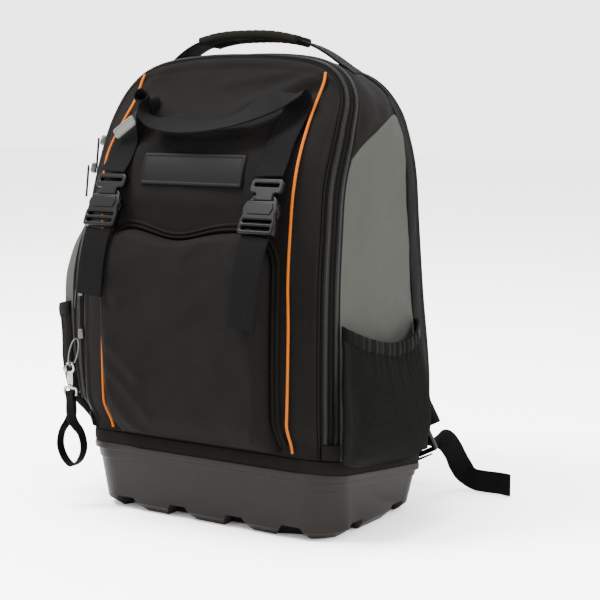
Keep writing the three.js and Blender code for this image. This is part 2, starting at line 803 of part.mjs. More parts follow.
// Padded panel behind the rear seam, thicker in its middle
function backPanel() {
  const outline = edgeLength * edgeOut(1) - 1;
  const place = (s, v, y) => {
    const p = archGrid(rearCurve, s, v, -outline);
    return at(p.x, y, Math.max(p.z, rearFoot));
  };
  const bulk = (s, v) => {
    const edge = Math.min((1 - Math.abs(s)) / 0.2, (1 - v) / 0.12, v / 0.05, 1);
    return padThick - padCrown * (1 - Math.max(edge, 0)) ** 2;
  };
  return sheet(
    bothSides([0, 0.45, 0.78, 0.92, 1]),
    [0, 0.05, 0.3, 0.55, 0.72, 0.83, 0.91, 0.96, 1],
    (s, v) => place(s, v, rearReach + gap + bulk(s, v)),
    (s, v) => place(s, v, rearReach + gap),
  );
}

// A strip of the side and top cloth between two distances behind the front seam
function strip(us, from, to, across, lifts, wall) {
  const face = (inner) => (u, t) => (
    gusset(u, mix(from, to, t), inner ? lifts(t) - wall : lifts(t))
  );
  return sheet(us, across, face(false), face(true));
}

const wholeArch = bothSides(archSteps);
const flat = () => 0;
const coilLift = (t) => (t > 0.3 && t < 0.7 ? coilRise : 0);
const coilAcross = [0, 0.34, 0.66, 1];
const zipFrontEnd = zipStart + zipWidth;
const zipMainStart = zipStart + zipSpacing;
const zipMainEnd = zipMainStart + zipWidth;
const panelStart = zipMainEnd + 2 * seat;

const sideTop = tableCurve(sideTopRows, 'deep', 'along');

// Where the grey panel's upper edge crosses the strip of cloth at g
function sideTopAt(side, g) {
  let u = 0.35;
  for (let i = 0; i < 6; i += 1) u = sideTop(deepShare(side * u, g));
  return u;
}

function sidePanel(side) {
  const place = (a, b, lift) => {
    let u = 1;
    let g = panelStart;
    for (let i = 0; i < 4; i += 1) {
      g = mix(panelStart, gussetLength(side * u) - 0.1, b);
      u = mix(sideTopAt(side, g), 1, a);
    }
    return gusset(side * u, g, lift);
  };
  const down = [0, 0.08, 0.2, 0.4, 0.65, 0.85, 0.94, 1];
  const across = [0, 0.15, 0.35, 0.6, 0.8, 1];
  return sheet(down, across, (a, b) => place(a, b, 0), (a, b) => place(a, b, -clothWall));
}

function topGusset() {
  const slit = 0.0012;
  const place = (a, b, lift) => {
    let u = 0;
    let g = panelStart;
    for (let i = 0; i < 4; i += 1) {
      g = mix(panelStart, gussetLength(u) - 0.1, b);
      u = a * (sideTopAt(Math.sign(a) || 1, g) - slit);
    }
    return gusset(u, g, lift);
  };
  const along = bothSides([0, 0.22, 0.42, 0.56, 0.68, 0.8, 0.9, 1]);
  const across = [0, 0.15, 0.35, 0.6, 0.8, 1];
  return sheet(along, across, (a, b) => place(a, b, 0), (a, b) => place(a, b, -clothWall));
}

// Binding sewn round the top of the tray
function baseBinding() {
  const low = (y) => rimTopAt(y) + gap;
  const high = (y) => rimTopAt(y) + gap + bandHeight;
  const ring = (inset, heightAt) => planRing(inset, baseCorner - inset, heightAt);
  const outer = bandInset;
  const inner = bandInset + bandThick;
  return loft([ring(outer, low), ring(outer, high), ring(inner, high), ring(inner, low)], true);
}

// Cloth patch that closes the lower end of the zips, flat between two steps of the arch
function zipEnd(side) {
  const [high, low] = archSteps.slice(-2);
  const lift = coilRise + seat;
  const place = (t, g, out) => (
    mixed(gusset(side * high, g, out), gusset(side * low, g, out), mix(0.1, 0.9, t))
  );
  return sheet(
    steps(1),
    steps(8, zipStart + 1, zipMainEnd - 1),
    (t, g) => place(t, g, lift + 1.4),
    (t, g) => place(t, g, lift),
  );
}

// Round piping laid on the front, from its foot to near the arch
function piping(side) {
  const pipingAt = tableCurve(pipingRows, 'up', side < 0 ? 'left' : 'right');
  const lift = pipingRadius + seat;
  const [first, last] = [pipingRows[0].up, pipingRows[pipingRows.length - 1].up];
  const heights = steps(24).map((t) => mix(first, last, t ** 1.5));
  return wire(heights.map((up) => (
    front(side * pipingAt(up) * pipingOut, mix(frontFoot, archTop, up), lift)
  )), pipingRadius);
}

// How far the loaded cloth of the pocket has sunk at a place near its mouth
function sunk(x, z) {
  const share = THREE.MathUtils.clamp((z - pocketDipFrom) / (pocketTop - pocketDipFrom), 0, 1);
  return pocketDip * share ** 2 * Math.exp(-(((x - pocketDipAt) / pocketDipWidth) ** 2));
}

// Squares off a rectangle with rounded upper corners
function roundedPlace(s, v, half, low, high, corner) {
  const x = s * half;
  const z = mix(low, high, v);
  const cx = (Math.abs(x) - (half - corner)) / corner;
  const cz = (z - (high - corner)) / corner;
  if (cx <= 0 || cz <= 0) return [x, z];
  const px = cx * Math.sqrt(1 - cz * cz / 2);
  const pz = cz * Math.sqrt(1 - cx * cx / 2);
  return [Math.sign(s) * (half - corner + px * corner), high - corner + pz * corner];
}

const pocketLow = frontFoot + pocketBottomGap;
const pocketSwell = tableCurve(pocketRows, 'up', 'bulge');

// How far the pocket's outer face stands off the front cloth
function pocketLift(s, v) {
  const inX = (1 - Math.abs(s)) * pocketHalfWidth;
  const inZ = Math.min(v, 1 - v) * (pocketTop - pocketLow);
  const rise = Math.min(Math.min(inX, inZ) / pocketEdge, 1);
  const profile = Math.sqrt(1 - (1 - rise) ** 2);
  return seat + pocketWall + (pocketDepth * pocketSwell(v) - pocketWall) * profile;
}

function frontPocket() {
  const place = (s, v, inner) => {
    const [x, z] = roundedPlace(s, v, pocketHalfWidth, pocketLow, pocketTop, pocketCorner);
    const lift = pocketLift(s, v);
    return front(x, z - sunk(x, z), inner ? lift - pocketWall : lift);
  };
  const across = bothSides([0, 0.15, 0.3, 0.5, 0.78, 0.89, 0.94, 0.98, 1]);
  const up = [0, 0.02, 0.06, 0.14, 0.3, 0.52, 0.74, 0.88, 0.94, 0.98, 1];
  return sheet(across, up, (s, v) => place(s, v, false), (s, v) => place(s, v, true));
}

// Zip with its piping lip, round the pocket's top and down both sides
function pocketZip() {
  const half = pocketHalfWidth + pocketZipWidth + 2 * seat;
  const path = (t, out) => {
    const reach = half - pocketZipWidth + out;
    const top = pocketTop + 2 * seat + out;
    const corner = pocketCorner + out;
    const low = mix(pocketLow, pocketTop, 0.04);
    const side = top - corner - low;
    const bend = corner * Math.PI / 2;
    const across = 2 * (reach - corner);
    const whole = 2 * (side + bend) + across;
    let s = t * whole;
    if (s < side) return [-reach, low + s];
    s -= side;
    if (s < bend) {
      const turn = s / corner;
      return [-reach + corner * (1 - Math.cos(turn)), top - corner + corner * Math.sin(turn)];
    }
    s -= bend;
    if (s < across) return [-reach + corner + s, top];
    s -= across;
    if (s < bend) {
      const turn = s / corner;
      return [reach - corner * (1 - Math.sin(turn)), top - corner * (1 - Math.cos(turn))];
    }
    return [reach, top - corner - (s - bend)];
  };
  const lift = (w) => (w > 0.05 && w < 0.95 ? pocketZipRise : pocketZipRise * 0.5);
  const place = (t, w, inner) => {
    const [x, z] = path(t, w * pocketZipWidth);
    return front(x, z - sunk(x, z), inner ? seat : seat + lift(w));
  };
  const ends = [0, 0.012, 0.024, 0.036, 0.05, 0.066, 0.09, 0.14, 0.21];
  const along = [...ends, ...steps(14, 0.26, 0.74), ...ends.map((t) => 1 - t).reverse()];
  const across = [0, 0.3, 0.7, 1];
  return sheet(along, across, (t, w) => place(t, w, false), (t, w) => place(t, w, true));
}

// Plate with a raised border, laid on the front cloth and left bare
function labelPlate() {
  const border = labelBorder / labelWidth * 2;
  const rim = labelBorder / labelHeight * 2;
  const columns = bothSides([0, 0.4, 0.8, 1 - border * 1.3, 1 - border, 1]);
  const rows = bothSides([0, 1 - rim * 1.3, 1 - rim, 1]);
  const place = (s, v, top) => {
    const x = s * labelWidth / 2;
    const z = labelLow + (v + 1) / 2 * labelHeight;
    const edge = Math.abs(s) > 1 - border * 1.1 || Math.abs(v) > 1 - rim * 1.1;
    return front(x, z, top ? seat + (edge ? labelThick : labelThick - 0.9) : seat);
  };
  return sheet(columns, rows, (s, v) => place(s, v, true), (s, v) => place(s, v, false));
}

// A row of a strap on the front: where it is, how far off the cloth, and its width's direction
function strapRow({ x, z, off, across }) {
  return { centre: front(x, z, off + webThick / 2), across: at(...across).normalize() };
}

function compressionStrap() {
  return ribbon(loopRows.map((row) => strapRow({
    x: row.out * strapOut,
    z: mix(buckleTopHeight, archTop, row.up),
    off: row.off,
    across: row.across,
  })), 56, webWidth, webThick);
}

// Place of a buckle: its middle, leaning out over the pocket
function placeBuckle(geometry, side) {
  const tilt = THREE.MathUtils.degToRad(buckleTilt);
  const hang = buckleLength / 2;
  const top = front(side * strapOut, buckleTopHeight, buckleOff);
  geometry.rotateX(Math.PI / 2);
  geometry.rotateX(-tilt);
  geometry.translate(top.x, top.y - hang * Math.sin(tilt), top.z - hang * Math.cos(tilt));
  return geometry;
}

// Plate with holes, its thickness centred
function plate(shape, thick, curves = 3) {
  const geometry = new THREE.ExtrudeGeometry(shape, {
    depth: thick,
    bevelEnabled: false,
    curveSegments: curves,
  });
  return geometry.translate(0, 0, -thick / 2);
}

// Two halves of a side-release buckle: the clip above and the housing below
function buckleClip(side) {
  const neck = buckleWidth * 0.5;
  const frameWidth = webWidth + 5;
  const frameHeight = buckleLength * 0.26;
  const neckHeight = buckleLength * 0.14;
  const top = buckleLength / 2;
  const shape = new THREE.Shape();
  const low = top - frameHeight;
  shape.moveTo(-neck / 2, low - neckHeight);
  shape.lineTo(neck / 2, low - neckHeight);
  shape.lineTo(neck / 2, low);
  shape.lineTo(frameWidth / 2, low + 2);
  shape.lineTo(frameWidth / 2, top - 2);
  shape.lineTo(frameWidth / 2 - 2, top);
  shape.lineTo(-frameWidth / 2 + 2, top);
  shape.lineTo(-frameWidth / 2, top - 2);
  shape.lineTo(-frameWidth / 2, low + 2);
  shape.lineTo(-neck / 2, low);
  shape.holes.push(slot(webWidth - 4, 3.6, top - frameHeight * 0.45));
  return placeBuckle(plate(shape, buckleThick * 0.7), side);
}

function buckleHousing(side) {
  const top = buckleLength * (0.5 - 0.4) - gap;
  const low = -buckleLength / 2;
  const [wide, waist] = [buckleWidth / 2, buckleWidth * 0.4];
  const shape = new THREE.Shape();
  shape.moveTo(-wide + 3, low);
  shape.lineTo(wide - 3, low);
  shape.lineTo(wide, low + 3);
  shape.lineTo(wide, top - 7);
  shape.lineTo(waist, top);
  shape.lineTo(-waist, top);
  shape.lineTo(-wide, top - 7);
  shape.lineTo(-wide, low + 3);
  shape.holes.push(slot(webWidth + 1, 3.6, low + 6));
  shape.holes.push(slot(webWidth + 1, 3.2, low + 13));
  return placeBuckle(plate(shape, buckleThick), side);
}

// Slot across a plate, at a height
function slot(width, height, middle) {
  const [x, y] = [width / 2, height / 2];
  const path = new THREE.Path();
  path.moveTo(-x, middle - y);
  path.lineTo(-x, middle + y);
  path.lineTo(x, middle + y);
  path.lineTo(x, middle - y);
  return path;
}

// Strap end that hangs from a buckle over the pocket
function strapTail(side, length) {
  const tilt = THREE.MathUtils.degToRad(buckleTilt);
  const top = front(side * strapOut, buckleTopHeight, buckleOff);
  const foot = at(
    top.x,
    top.y - buckleLength * Math.sin(tilt),
    top.z - buckleLength * Math.cos(tilt) - gap * 6,
  );
  const rows = [[0, 0], [0.12, 0.06], [0.5, 0.15], [1, 0.18]].map(([down, out]) => ({
    centre: at(foot.x - down * length * 0.08, foot.y - out * length, foot.z - down * length),
    across: at(1, 0, 0),
  }));
  return ribbon(rows, 8, webWidth, webThick);
}

// Soft tag that hangs askew from the end of the loop
function pullTag() {
  const geometry = plate(roundedPath(tagLength, tagWidth, 2.5), tagThick);
  geometry.rotateX(Math.PI / 2);
  geometry.rotateY(-tagTurn * Math.PI / 180);
  const spot = front(-tagOut, tagHeight, webThick + tagThick / 2 + tagOff);
  return geometry.translate(spot.x, spot.y, spot.z);
}

// The cloth of the top at a place in plan, lifted
function topPoint(x, y, lift) {
  let g = panelStart;
  let u = 0;
  for (let i = 0; i < 8; i += 1) {
    let [low, high] = [-0.6, 0.6];
    for (let k = 0; k < 24; k += 1) {
      u = (low + high) / 2;
      if (gussetPoint(u, g).x < x) low = u;
      else high = u;
    }
    g += y - gussetPoint(u, g).y;
  }
  return gussetPoint(u, g).add(at(0, 0, lift));
}

const handleLift = tableCurve(handleRows, 'out', 'lift');

function handleRow(share) {
  const lean = handleLean * (1 - share * share);
  const centre = topPoint(share * handleSpan / 2, handleDepthAt, 0);
  const n = gusset(0, panelStart + 20, 1).sub(gusset(0, panelStart + 20, 0));
  centre.z += handleLift(Math.abs(share)) * (handleTop - archTop) / 27;
  centre.y -= lean;
  return { centre, across: at(0, n.z, -n.y) };
}

const gripShare = gripLength / handleSpan;

function handleWeb(side) {
  const shares = [1, 0.95, 0.9, 0.85, 0.8, 0.74, 0.68, 0.6, gripShare + seat / handleSpan * 2.6];
  return ribbon(shares.map((s) => handleRow(side * s)), 14, handleWidth, webThick + 0.6);
}

function handleGrip() {
  const rows = steps(8, -gripShare, gripShare).map(handleRow);
  return ribbon(rows, 16, gripWidth, gripThick, 3);
}

// Bottle pockets of netting: b runs from front to back, h from the mouth to the bottom
const mouthAt = tableCurve(mouthRows, 'deep', 'along');
const netSwell = tableCurve(meshRows, 'down', 'bulge');

function netPoint(side, b, h, lift, extra = 0) {
  const u = mix(mouthAt(b) - extra, 1, h);
  const g = mix(panelStart + 1, gussetLength(side * u) - meshRearStrip, b);
  const rise = Math.min(Math.min(b, 1 - b) / 0.2, 1);
  const round = Math.sqrt(1 - (1 - rise) ** 2);
  const low = h ** 4;
  const share = side < 0 ? meshSagShare : 1;
  const swell = share * meshBulge * netSwell(h) * round + mix(1.5 * seat, 1.8, low);
  const p = gusset(side * u, g, swell + lift);
  p.z -= meshOverhang * low * round;
  p.y -= share * meshForward * netSwell(h) * round * (1 - b) ** 3;
  return p;
}

const netAcross = [0, 0.02, 0.06, 0.13, 0.25, 0.5, 0.75, 0.9, 0.97, 1];

function meshPocket(side) {
  const down = [0, 0.14, 0.32, 0.52, 0.7, 0.84, 0.94, 1];
  return sheet(
    down,
    netAcross,
    (h, b) => netPoint(side, b, h, meshThick),
    (h, b) => netPoint(side, b, h, 0),
  );
}

function meshBand(side) {
  const length = frontCurve.getLength() / 2;
  const up = [meshBandHeight / length, meshBandHeight / length / 2, seat / length];
  return sheet(
    up,
    netAcross,
    (e, b) => netPoint(side, b, 0, meshBandThick, e),
    (e, b) => netPoint(side, b, 0, 0, e),
  );
}

// Shoulder straps down the back
const padFace = rearReach + gap + padThick;

function strapPlace(side, row) {
  const z = mix(rearFoot, rearArchTop, row.up);
  const y = padFace + gap + padStrapThick / 2 + row.off;
  return at(side * row.out * rearSeamWidth / 2, y, z);
}

function shoulderStrap(side) {
  const rows = strapRows.map((row) => ({
    centre: strapPlace(side, row),
    across: at(1, 0, -side * 0.1),
  }));
  return ribbon(rows, 20, padStrapWidth, padStrapThick, 4);
}

// Ladder lock at the foot of a shoulder strap, in line with it
function lockPlace(side, down) {
  const [end, before] = [1, 2].map((i) => strapPlace(side, strapRows[strapRows.length - i]));
  const along = end.clone().sub(before).normalize();
  return { spot: end.clone().addScaledVector(along, down), along };
}

function ladderLock(side) {
  const { spot, along } = lockPlace(side, lockLength / 2 + seat);
  const shape = roundedPath(tailWidth + 8, lockLength, 3);
  shape.holes.push(slot(tailWidth + 1, 4, lockLength * 0.22));
  shape.holes.push(slot(tailWidth + 1, 4, -lockLength * 0.22));
  const geometry = plate(shape, lockThick);
  const across = along.clone().cross(at(0, 1, 0)).normalize();
  const out = across.clone().cross(along);
  geometry.applyMatrix4(new THREE.Matrix4().makeBasis(across, along, out));
  return geometry.translate(spot.x, spot.y, spot.z);
}

// Webbing from the lock: it rises over a bend, drops to the ground and lies on its edge
function strapEnd(side) {
  const { spot } = lockPlace(side, lockLength * 0.6);
  const floor = tailWidth / 2 + 1;
  const rows = tailRows.map((row) => ({
    centre: at(
      spot.x + side * row.out,
      spot.y + lockThick / 2 + row.back,
      mix(floor, spot.z, row.rise),
    ),
    across: at(side * row.across[0], row.across[1], row.across[2]),
  }));
  return ribbon(rows, 30, tailWidth, tailThick);
}

// Webbing from the lock's lower bar to its anchor on the base
function anchorWeb(side) {
  const { spot, along } = lockPlace(side, lockLength + 4 * seat);
  const across = along.clone().cross(at(0, 1, 0)).normalize();
  const foot = at(side * anchorOut, baseDepth / 2 + anchorOff, rimTopBack - anchorDrop);
  return ribbon([spot, foot].map((centre) => ({ centre, across })), 3, tailWidth, tailThick);
}

// Sliders, pulls and the fob on the left zips
const zipMiddle = { front: zipStart + zipWidth / 2, main: zipMainStart + zipWidth / 2 };

function archShareAt(height) {
  let [low, high] = [0.05, 1];
  for (let i = 0; i < 30; i += 1) {
    const u = (low + high) / 2;
    if (frontSeam(u).z > height) low = u;
    else high = u;
  }
  return low;
}

function slider(row) {
  const u = -archShareAt(row.height);
  const g = zipMiddle[row.zip];
  const spot = gusset(u, g, coilRise + seat + sliderThick / 2);
  const out = spot.clone().sub(gusset(u, g, 0)).normalize();
  const down = gusset(u - 0.01, g, 0).sub(gusset(u, g, 0)).normalize();
  const across = down.clone().cross(out).normalize();
  const geometry = plate(roundedPath(sliderWidth, sliderLength, 2.4), sliderThick);
  geometry.applyMatrix4(new THREE.Matrix4().makeBasis(across, down.clone(), out));
  return geometry.translate(spot.x, spot.y, spot.z);
}

function pull(row) {
  const u = -archShareAt(row.height);
  const spot = gusset(u, zipMiddle[row.zip], coilRise + gap + sliderThick + row.off);
  const geometry = plate(roundedPath(5, row.pull, 1.6), 1.8);
  geometry.rotateX(Math.PI / 2);
  geometry.rotateZ(-0.7);
  geometry.rotateY(0.12);
  return geometry.translate(spot.x - 1, spot.y - 1, spot.z - row.pull / 2 + 2);
}

// Snap hook: a claw on a stem, its sprung gate, and the swivel ring below
const clawMiddle = -clawRadius;
const arc = (degrees) => THREE.MathUtils.degToRad(degrees);

function hookPlate(shape, thick) {
  return plate(shape, thick, 12).rotateX(Math.PI / 2).translate(hookX, hookY, hookTop);
}

function hookBody() {
  const inner = clawRadius - clawWire;
  const shape = new THREE.Shape();
  const stem = clawRadius * 0.62;
  const shoulder = clawMiddle - clawRadius * 0.9;
  shape.absarc(0, clawMiddle, clawRadius, arc(140), arc(-55), true);
  shape.lineTo(stem, shoulder);
  shape.lineTo(stem, -hookLength);
  shape.lineTo(-stem, -hookLength);
  shape.lineTo(-stem, shoulder);
  shape.absarc(0, clawMiddle, inner, arc(245), arc(500), false);
  return hookPlate(shape, hookThick);
}

// Gate pivot, and its bar with the thumb tab
const gateX = -clawRadius * 0.92;
const gateLow = clawMiddle - clawRadius * 0.72;

function hookGate() {
  const half = gateWidth / 2;
  const top = clawMiddle + clawRadius * 0.3;
  const shape = new THREE.Shape();
  shape.moveTo(gateX - half, gateLow - half);
  shape.lineTo(gateX + half * 1.6, gateLow - half);
  shape.lineTo(gateX + half, top);
  shape.lineTo(gateX - half * 0.6, top);
  shape.lineTo(gateX - half, gateLow + half * 4);
  shape.lineTo(gateX - half * 4.6, gateLow + half * 4.6);
  shape.lineTo(gateX - half * 4.6, gateLow + half * 2.6);
  return hookPlate(shape, gateThick);
}

const ringTop = -hookLength - gap - collarHeight + 1;

function hookEye() {
  const ring = roundedPath(ringWidth, ringHeight, ringHeight * 0.35);
  const hole = [ringWidth - 2 * ringWire, ringHeight - 2 * ringWire];
  ring.holes.push(roundedPath(...hole, hole[1] * 0.35, THREE.Path));
  const loop = plate(ring, ringWire).rotateX(Math.PI / 2);
  loop.translate(hookX, hookY, hookTop + ringTop - ringHeight / 2);
  const collar = new THREE.CylinderGeometry(collarRadius, collarRadius, collarHeight, 10);
  collar.rotateX(Math.PI / 2);
  collar.translate(hookX, hookY, hookTop - hookLength - gap - collarHeight / 2);
  return geometryOf(solidOf(loop).add(solidOf(collar)));
}

// Wire link between the slider and the claw
function hookLink() {
  const low = at(hookX, hookY, hookTop - clawWire - linkWire - 7 * gap);
  const high = at(hookX + 1, hookY + 9.5, low.z + 29.3);
  const middle = mixed(low, high, 0.5);
  const half = high.clone().sub(middle);
  const across = at(0, -half.z, half.y).normalize().multiplyScalar(7);
  return wire(steps(14).slice(0, 14).map((t) => {
    const turn = t * 2 * Math.PI;
    return middle.clone().addScaledVector(half, Math.cos(turn))
      .addScaledVector(across, Math.sin(turn));
  }), linkWire, true);
}

// Webbing loop round the lower bar of the swivel ring, twisted open below
function fobLoop() {
  const bar = at(hookX, hookY, hookTop + ringTop - ringHeight + ringWire / 2);
  const leg = (row, side) => {
    const turn = arc(90 * row.twist);
    const out = row.wide * fobWidth / 2 * side;
    return {
      centre: bar.clone().add(at(
        out * Math.sin(turn), -out * Math.cos(turn), -row.down * fobLength)),
      across: at(Math.cos(turn), Math.sin(turn), 0),
    };
  };
  const top = { centre: bar.clone().add(at(0, 0, ringWire + 0.5)), across: at(1, 0, 0) };
  const foot = { centre: bar.clone().add(at(0, 0, -fobLength)), across: at(0, 1, 0) };
  const rows = [
    top,
    ...fobRows.map((row) => leg(row, 1)),
    foot,
    ...fobRows.map((row) => leg(row, -1)).reverse(),
  ];
  return closedRibbon(rows, fobWebWidth, webThick);
}

function closedRibbon(rows, width, thick) {
  const count = rows.length;
  return loft(rows.map(({ centre, across }, i) => {
    const before = rows[(i + count - 1) % count].centre;
    const along = rows[(i + 1) % count].centre.clone().sub(before).normalize();
    const flatAcross = across.clone().addScaledVector(along, -across.dot(along)).normalize();
    const face = along.cross(flatAcross);
    return [[-1, -1], [1, -1], [1, 1], [-1, 1]].map(([a, n]) => (
      centre.clone().addScaledVector(flatAcross, a * width / 2).addScaledVector(face, n * thick / 2)
    ));
  }), true);
}

add('base_tub', baseTub(), moulding);
add('base_binding', baseBinding(), webbing);
add('front_panel', frontPanel(), cloth);
add('back_panel', backPanel(), cloth);
add('edge_strip', strip(wholeArch, 0, zipStart - 2 * gap, [0, 1], flat, clothWall), cloth);
add('zip_front', strip(wholeArch, zipStart, zipFrontEnd, coilAcross, coilLift, clothWall), coil);
add('front_gusset', strip(
  wholeArch, zipFrontEnd + 2 * gap, zipMainStart - 2 * gap, [0, 1], flat, clothWall), cloth);
add('zip_main', strip(wholeArch, zipMainStart, zipMainEnd, coilAcross, coilLift, clothWall), coil);
add('top_gusset', topGusset(), cloth);
for (const [name, side] of sides) {
  add(`side_panel_${name}`, sidePanel(side), greyCloth);
  add(`zip_end_${name}`, zipEnd(side), cloth);
  add(`piping_${name}`, piping(side), orangeCord);
  add(`mesh_pocket_${name}`, meshPocket(side), netting);
  add(`mesh_band_${name}`, meshBand(side), webbing);
  add(`buckle_clip_${name}`, buckleClip(side), hardPlastic);
  add(`buckle_housing_${name}`, buckleHousing(side), hardPlastic);
  add(`strap_tail_${name}`, strapTail(side, side < 0 ? leftTail : rightTail), webbing);
  add(`handle_web_${name}`, handleWeb(side), webbing);
  add(`shoulder_strap_${name}`, shoulderStrap(side), cloth);
  add(`ladder_lock_${name}`, ladderLock(side), hardPlastic);
  add(`strap_end_${name}`, strapEnd(side), webbing);
  add(`anchor_web_${name}`, anchorWeb(side), webbing);
}
add('front_pocket', frontPocket(), cloth);
add('pocket_zip', pocketZip(), coil);
add('label_plate', labelPlate(), rubber);
add('compression_strap', compressionStrap(), webbing);
add('handle_grip', handleGrip(), webbing);
add('pull_tag', pullTag(), greyRubber);
for (const row of sliderRows) {
  add(`slider_${row.name}`, slider(row), darkMetal);
  if (row.pull) add(`pull_${row.name}`, pull(row), rubber);
}

add('hook_link', hookLink(), darkMetal);
add('hook_body', hookBody(), darkMetal);
add('hook_gate', hookGate(), darkMetal);
add('hook_eye', hookEye(), darkMetal);
add('fob_loop', fobLoop(), webbing);

export default bag;
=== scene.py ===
"""Looks of the tool backpack: cloth, zips, netting, webbing, buckles and moulded base."""
import math
import bpy
import numpy as np
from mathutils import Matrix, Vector


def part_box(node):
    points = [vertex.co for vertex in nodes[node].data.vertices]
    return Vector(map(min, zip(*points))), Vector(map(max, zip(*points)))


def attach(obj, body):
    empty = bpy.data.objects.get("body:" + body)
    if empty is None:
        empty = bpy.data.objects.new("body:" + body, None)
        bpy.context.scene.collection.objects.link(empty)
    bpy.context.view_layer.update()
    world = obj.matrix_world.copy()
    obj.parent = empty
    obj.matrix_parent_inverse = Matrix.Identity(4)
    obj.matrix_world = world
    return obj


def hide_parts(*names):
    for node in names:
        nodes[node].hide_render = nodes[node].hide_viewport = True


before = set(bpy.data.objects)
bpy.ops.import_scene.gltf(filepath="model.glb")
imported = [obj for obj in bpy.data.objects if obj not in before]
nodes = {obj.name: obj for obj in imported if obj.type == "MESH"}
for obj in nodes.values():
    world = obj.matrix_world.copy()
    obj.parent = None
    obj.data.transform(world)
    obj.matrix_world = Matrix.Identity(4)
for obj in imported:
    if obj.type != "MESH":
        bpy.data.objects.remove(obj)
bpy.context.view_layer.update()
MM = 0.001

# ------------------------------------------------------------------ sizes, in millimetres
BASE_WIDTH, BASE_DEPTH, BASE_CORNER = 320, 206, 36
RIM_FRONT, RIM_BACK, RIM_HEIGHT, RIM_PROUD = 73, 48, 8, 3.5
SOLE_INSET, SOLE_CORNER, SOLE_CHAMFER, WALL_DRAFT, TUB_WALL = 18, 42, 9, 5, 3
NOTCH_WIDTH, NOTCH_TOP, NOTCH_HEIGHT, NOTCH_REACH, NOTCH_TURN = 44, 20, 14, 32, 22
NOTCHES_ACROSS, NOTCH_PITCH, NOTCHES_DEEP, NOTCH_PITCH_DEEP = 4, 73, 2, 84
BAND_HEIGHT, BAND_THICK, BAND_INSET = 13, 3, 1
SEAM_WIDTH, REAR_WIDTH, FRONT_REACH, REAR_REACH = 290, 304, 105, 86
ARCH_TOP, REAR_TOP, EDGE_LENGTH, EDGE_TOP_SHARE = 482, 468, 50, 0.55
SIDE_BULGE, CROWN, CLOTH, SETTLE = 5, 24, 2.5, 38
PAD_THICK, PAD_CROWN, GAP, SEAT = 15, 5, 0.3, 0.8
ZIP_WIDTH, ZIP_START, ZIP_SPACING, COIL_RISE = 9, 3, 13, 1.4
PIPING_RADIUS, PIPING_OUT = 1.8, 116
POCKET_HALF, POCKET_TOP, POCKET_GAP, POCKET_CORNER = 99, 309, 4, 34
POCKET_DEPTH, POCKET_EDGE, POCKET_WALL = 27, 10, 2.5
POCKET_ZIP, POCKET_ZIP_RISE = 9, 3
LABEL_WIDTH, LABEL_HEIGHT, LABEL_THICK, LABEL_LOW, LABEL_BORDER = 126, 31, 2.4, 353, 3.5
WEB_WIDTH, WEB_THICK, STRAP_OUT = 32, 1.8, 96
BUCKLE_WIDTH, BUCKLE_LENGTH, BUCKLE_THICK, BUCKLE_TOP = 41, 58, 9, 361
BUCKLE_TILT, BUCKLE_OFF, LEFT_TAIL, RIGHT_TAIL = 26, 5.6, 68, 88
HANDLE_SPAN, HANDLE_TOP, HANDLE_WIDTH, HANDLE_AT, HANDLE_LEAN = 240, 509, 28, 11, 12
GRIP_LENGTH, GRIP_WIDTH, GRIP_THICK = 118, 36, 9
MESH_BULGE, MESH_FORWARD, MESH_SAG = 27, 28, 0.18
MESH_REAR, MESH_OVERHANG, MESH_BAND, MESH_BAND_THICK = 26, 7, 12, 2.6
PAD_STRAP_WIDTH, PAD_STRAP_THICK, TAIL_WIDTH, TAIL_THICK = 66, 12, 25, 1.8
LOCK_LENGTH, LOCK_THICK = 26, 7
SIDE_EDGE = 25
POCKET_DIP, POCKET_DIP_WIDTH, POCKET_DIP_AT, POCKET_DIP_FROM = 11, 42, -14, 200
TAG_LENGTH, TAG_WIDTH, TAG_THICK, TAG_TURN = 30, 11, 2.6, 33
HOOK_X, HOOK_Y, HOOK_TOP, HOOK_LENGTH, COLLAR_HEIGHT = -158, -121, 161, 25, 3
RING_HEIGHT, RING_WIRE, FOB_WEB, FOB_LENGTH, FOB_WIDTH = 9.5, 2.4, 10.5, 78, 34
STRIP_STEPS = 420
SIDES = ((-1, "left"), (1, "right"))
ANCHOR_OUT, ANCHOR_OFF, ANCHOR_DROP = 138, -1.7, 3

FRONT_ARCH = [(0, 1, 1), (.16, 1.006, 1.03), (.41, 1.006, 1.02), (.56, 1, .96),
              (.69, .98, .85), (.82, .975, .64), (.89, .948, .49), (.93, .888, .415),
              (.96, .795, .37), (.98, .655, .335), (.995, .37, .31), (1, 0, .3)]
EDGE_ROWS = [(0, 0, 0, 0, 0), (.1, .07, .07, .06, .07), (.22, .13, .17, .14, .16),
             (.4, .17, .35, .32, .23), (.6, .19, .55, .56, .3), (.8, .2, .75, .74, .42),
             (1, .2, .95, .84, .6)]
SAG_ROWS = [(0, .2), (.04, .5), (.12, .92), (.22, 1.12), (.32, 1.2), (.42, 1.18), (.5, .95),
            (.57, .62), (.65, .32), (.72, .22), (.82, .26), (.92, .22), (1, 0)]
REAR_ARCH = [(0, .99), (.19, 1), (.43, .94), (.6, .905), (.745, .875), (.82, .83), (.89, .76),
             (.95, .625), (.982, .45), (1, 0)]
CROWN_ROWS = [(0, .3), (.06, .5), (.16, .55), (.41, .55), (.58, .72), (.67, .96), (.75, 1),
              (.84, .5), (.9, .2), (.96, .06), (1, 0)]
PIPING_ROWS = [(.015, .99, .98), (.06, 1, .975), (.15, 1.02, .97), (.33, 1.03, .97),
               (.44, 1.02, .97), (.56, 1.02, .975), (.74, 1.02, 1.02), (.82, 1, 1),
               (.88, .985, .985), (.935, .99, .99), (.955, .98, .98)]
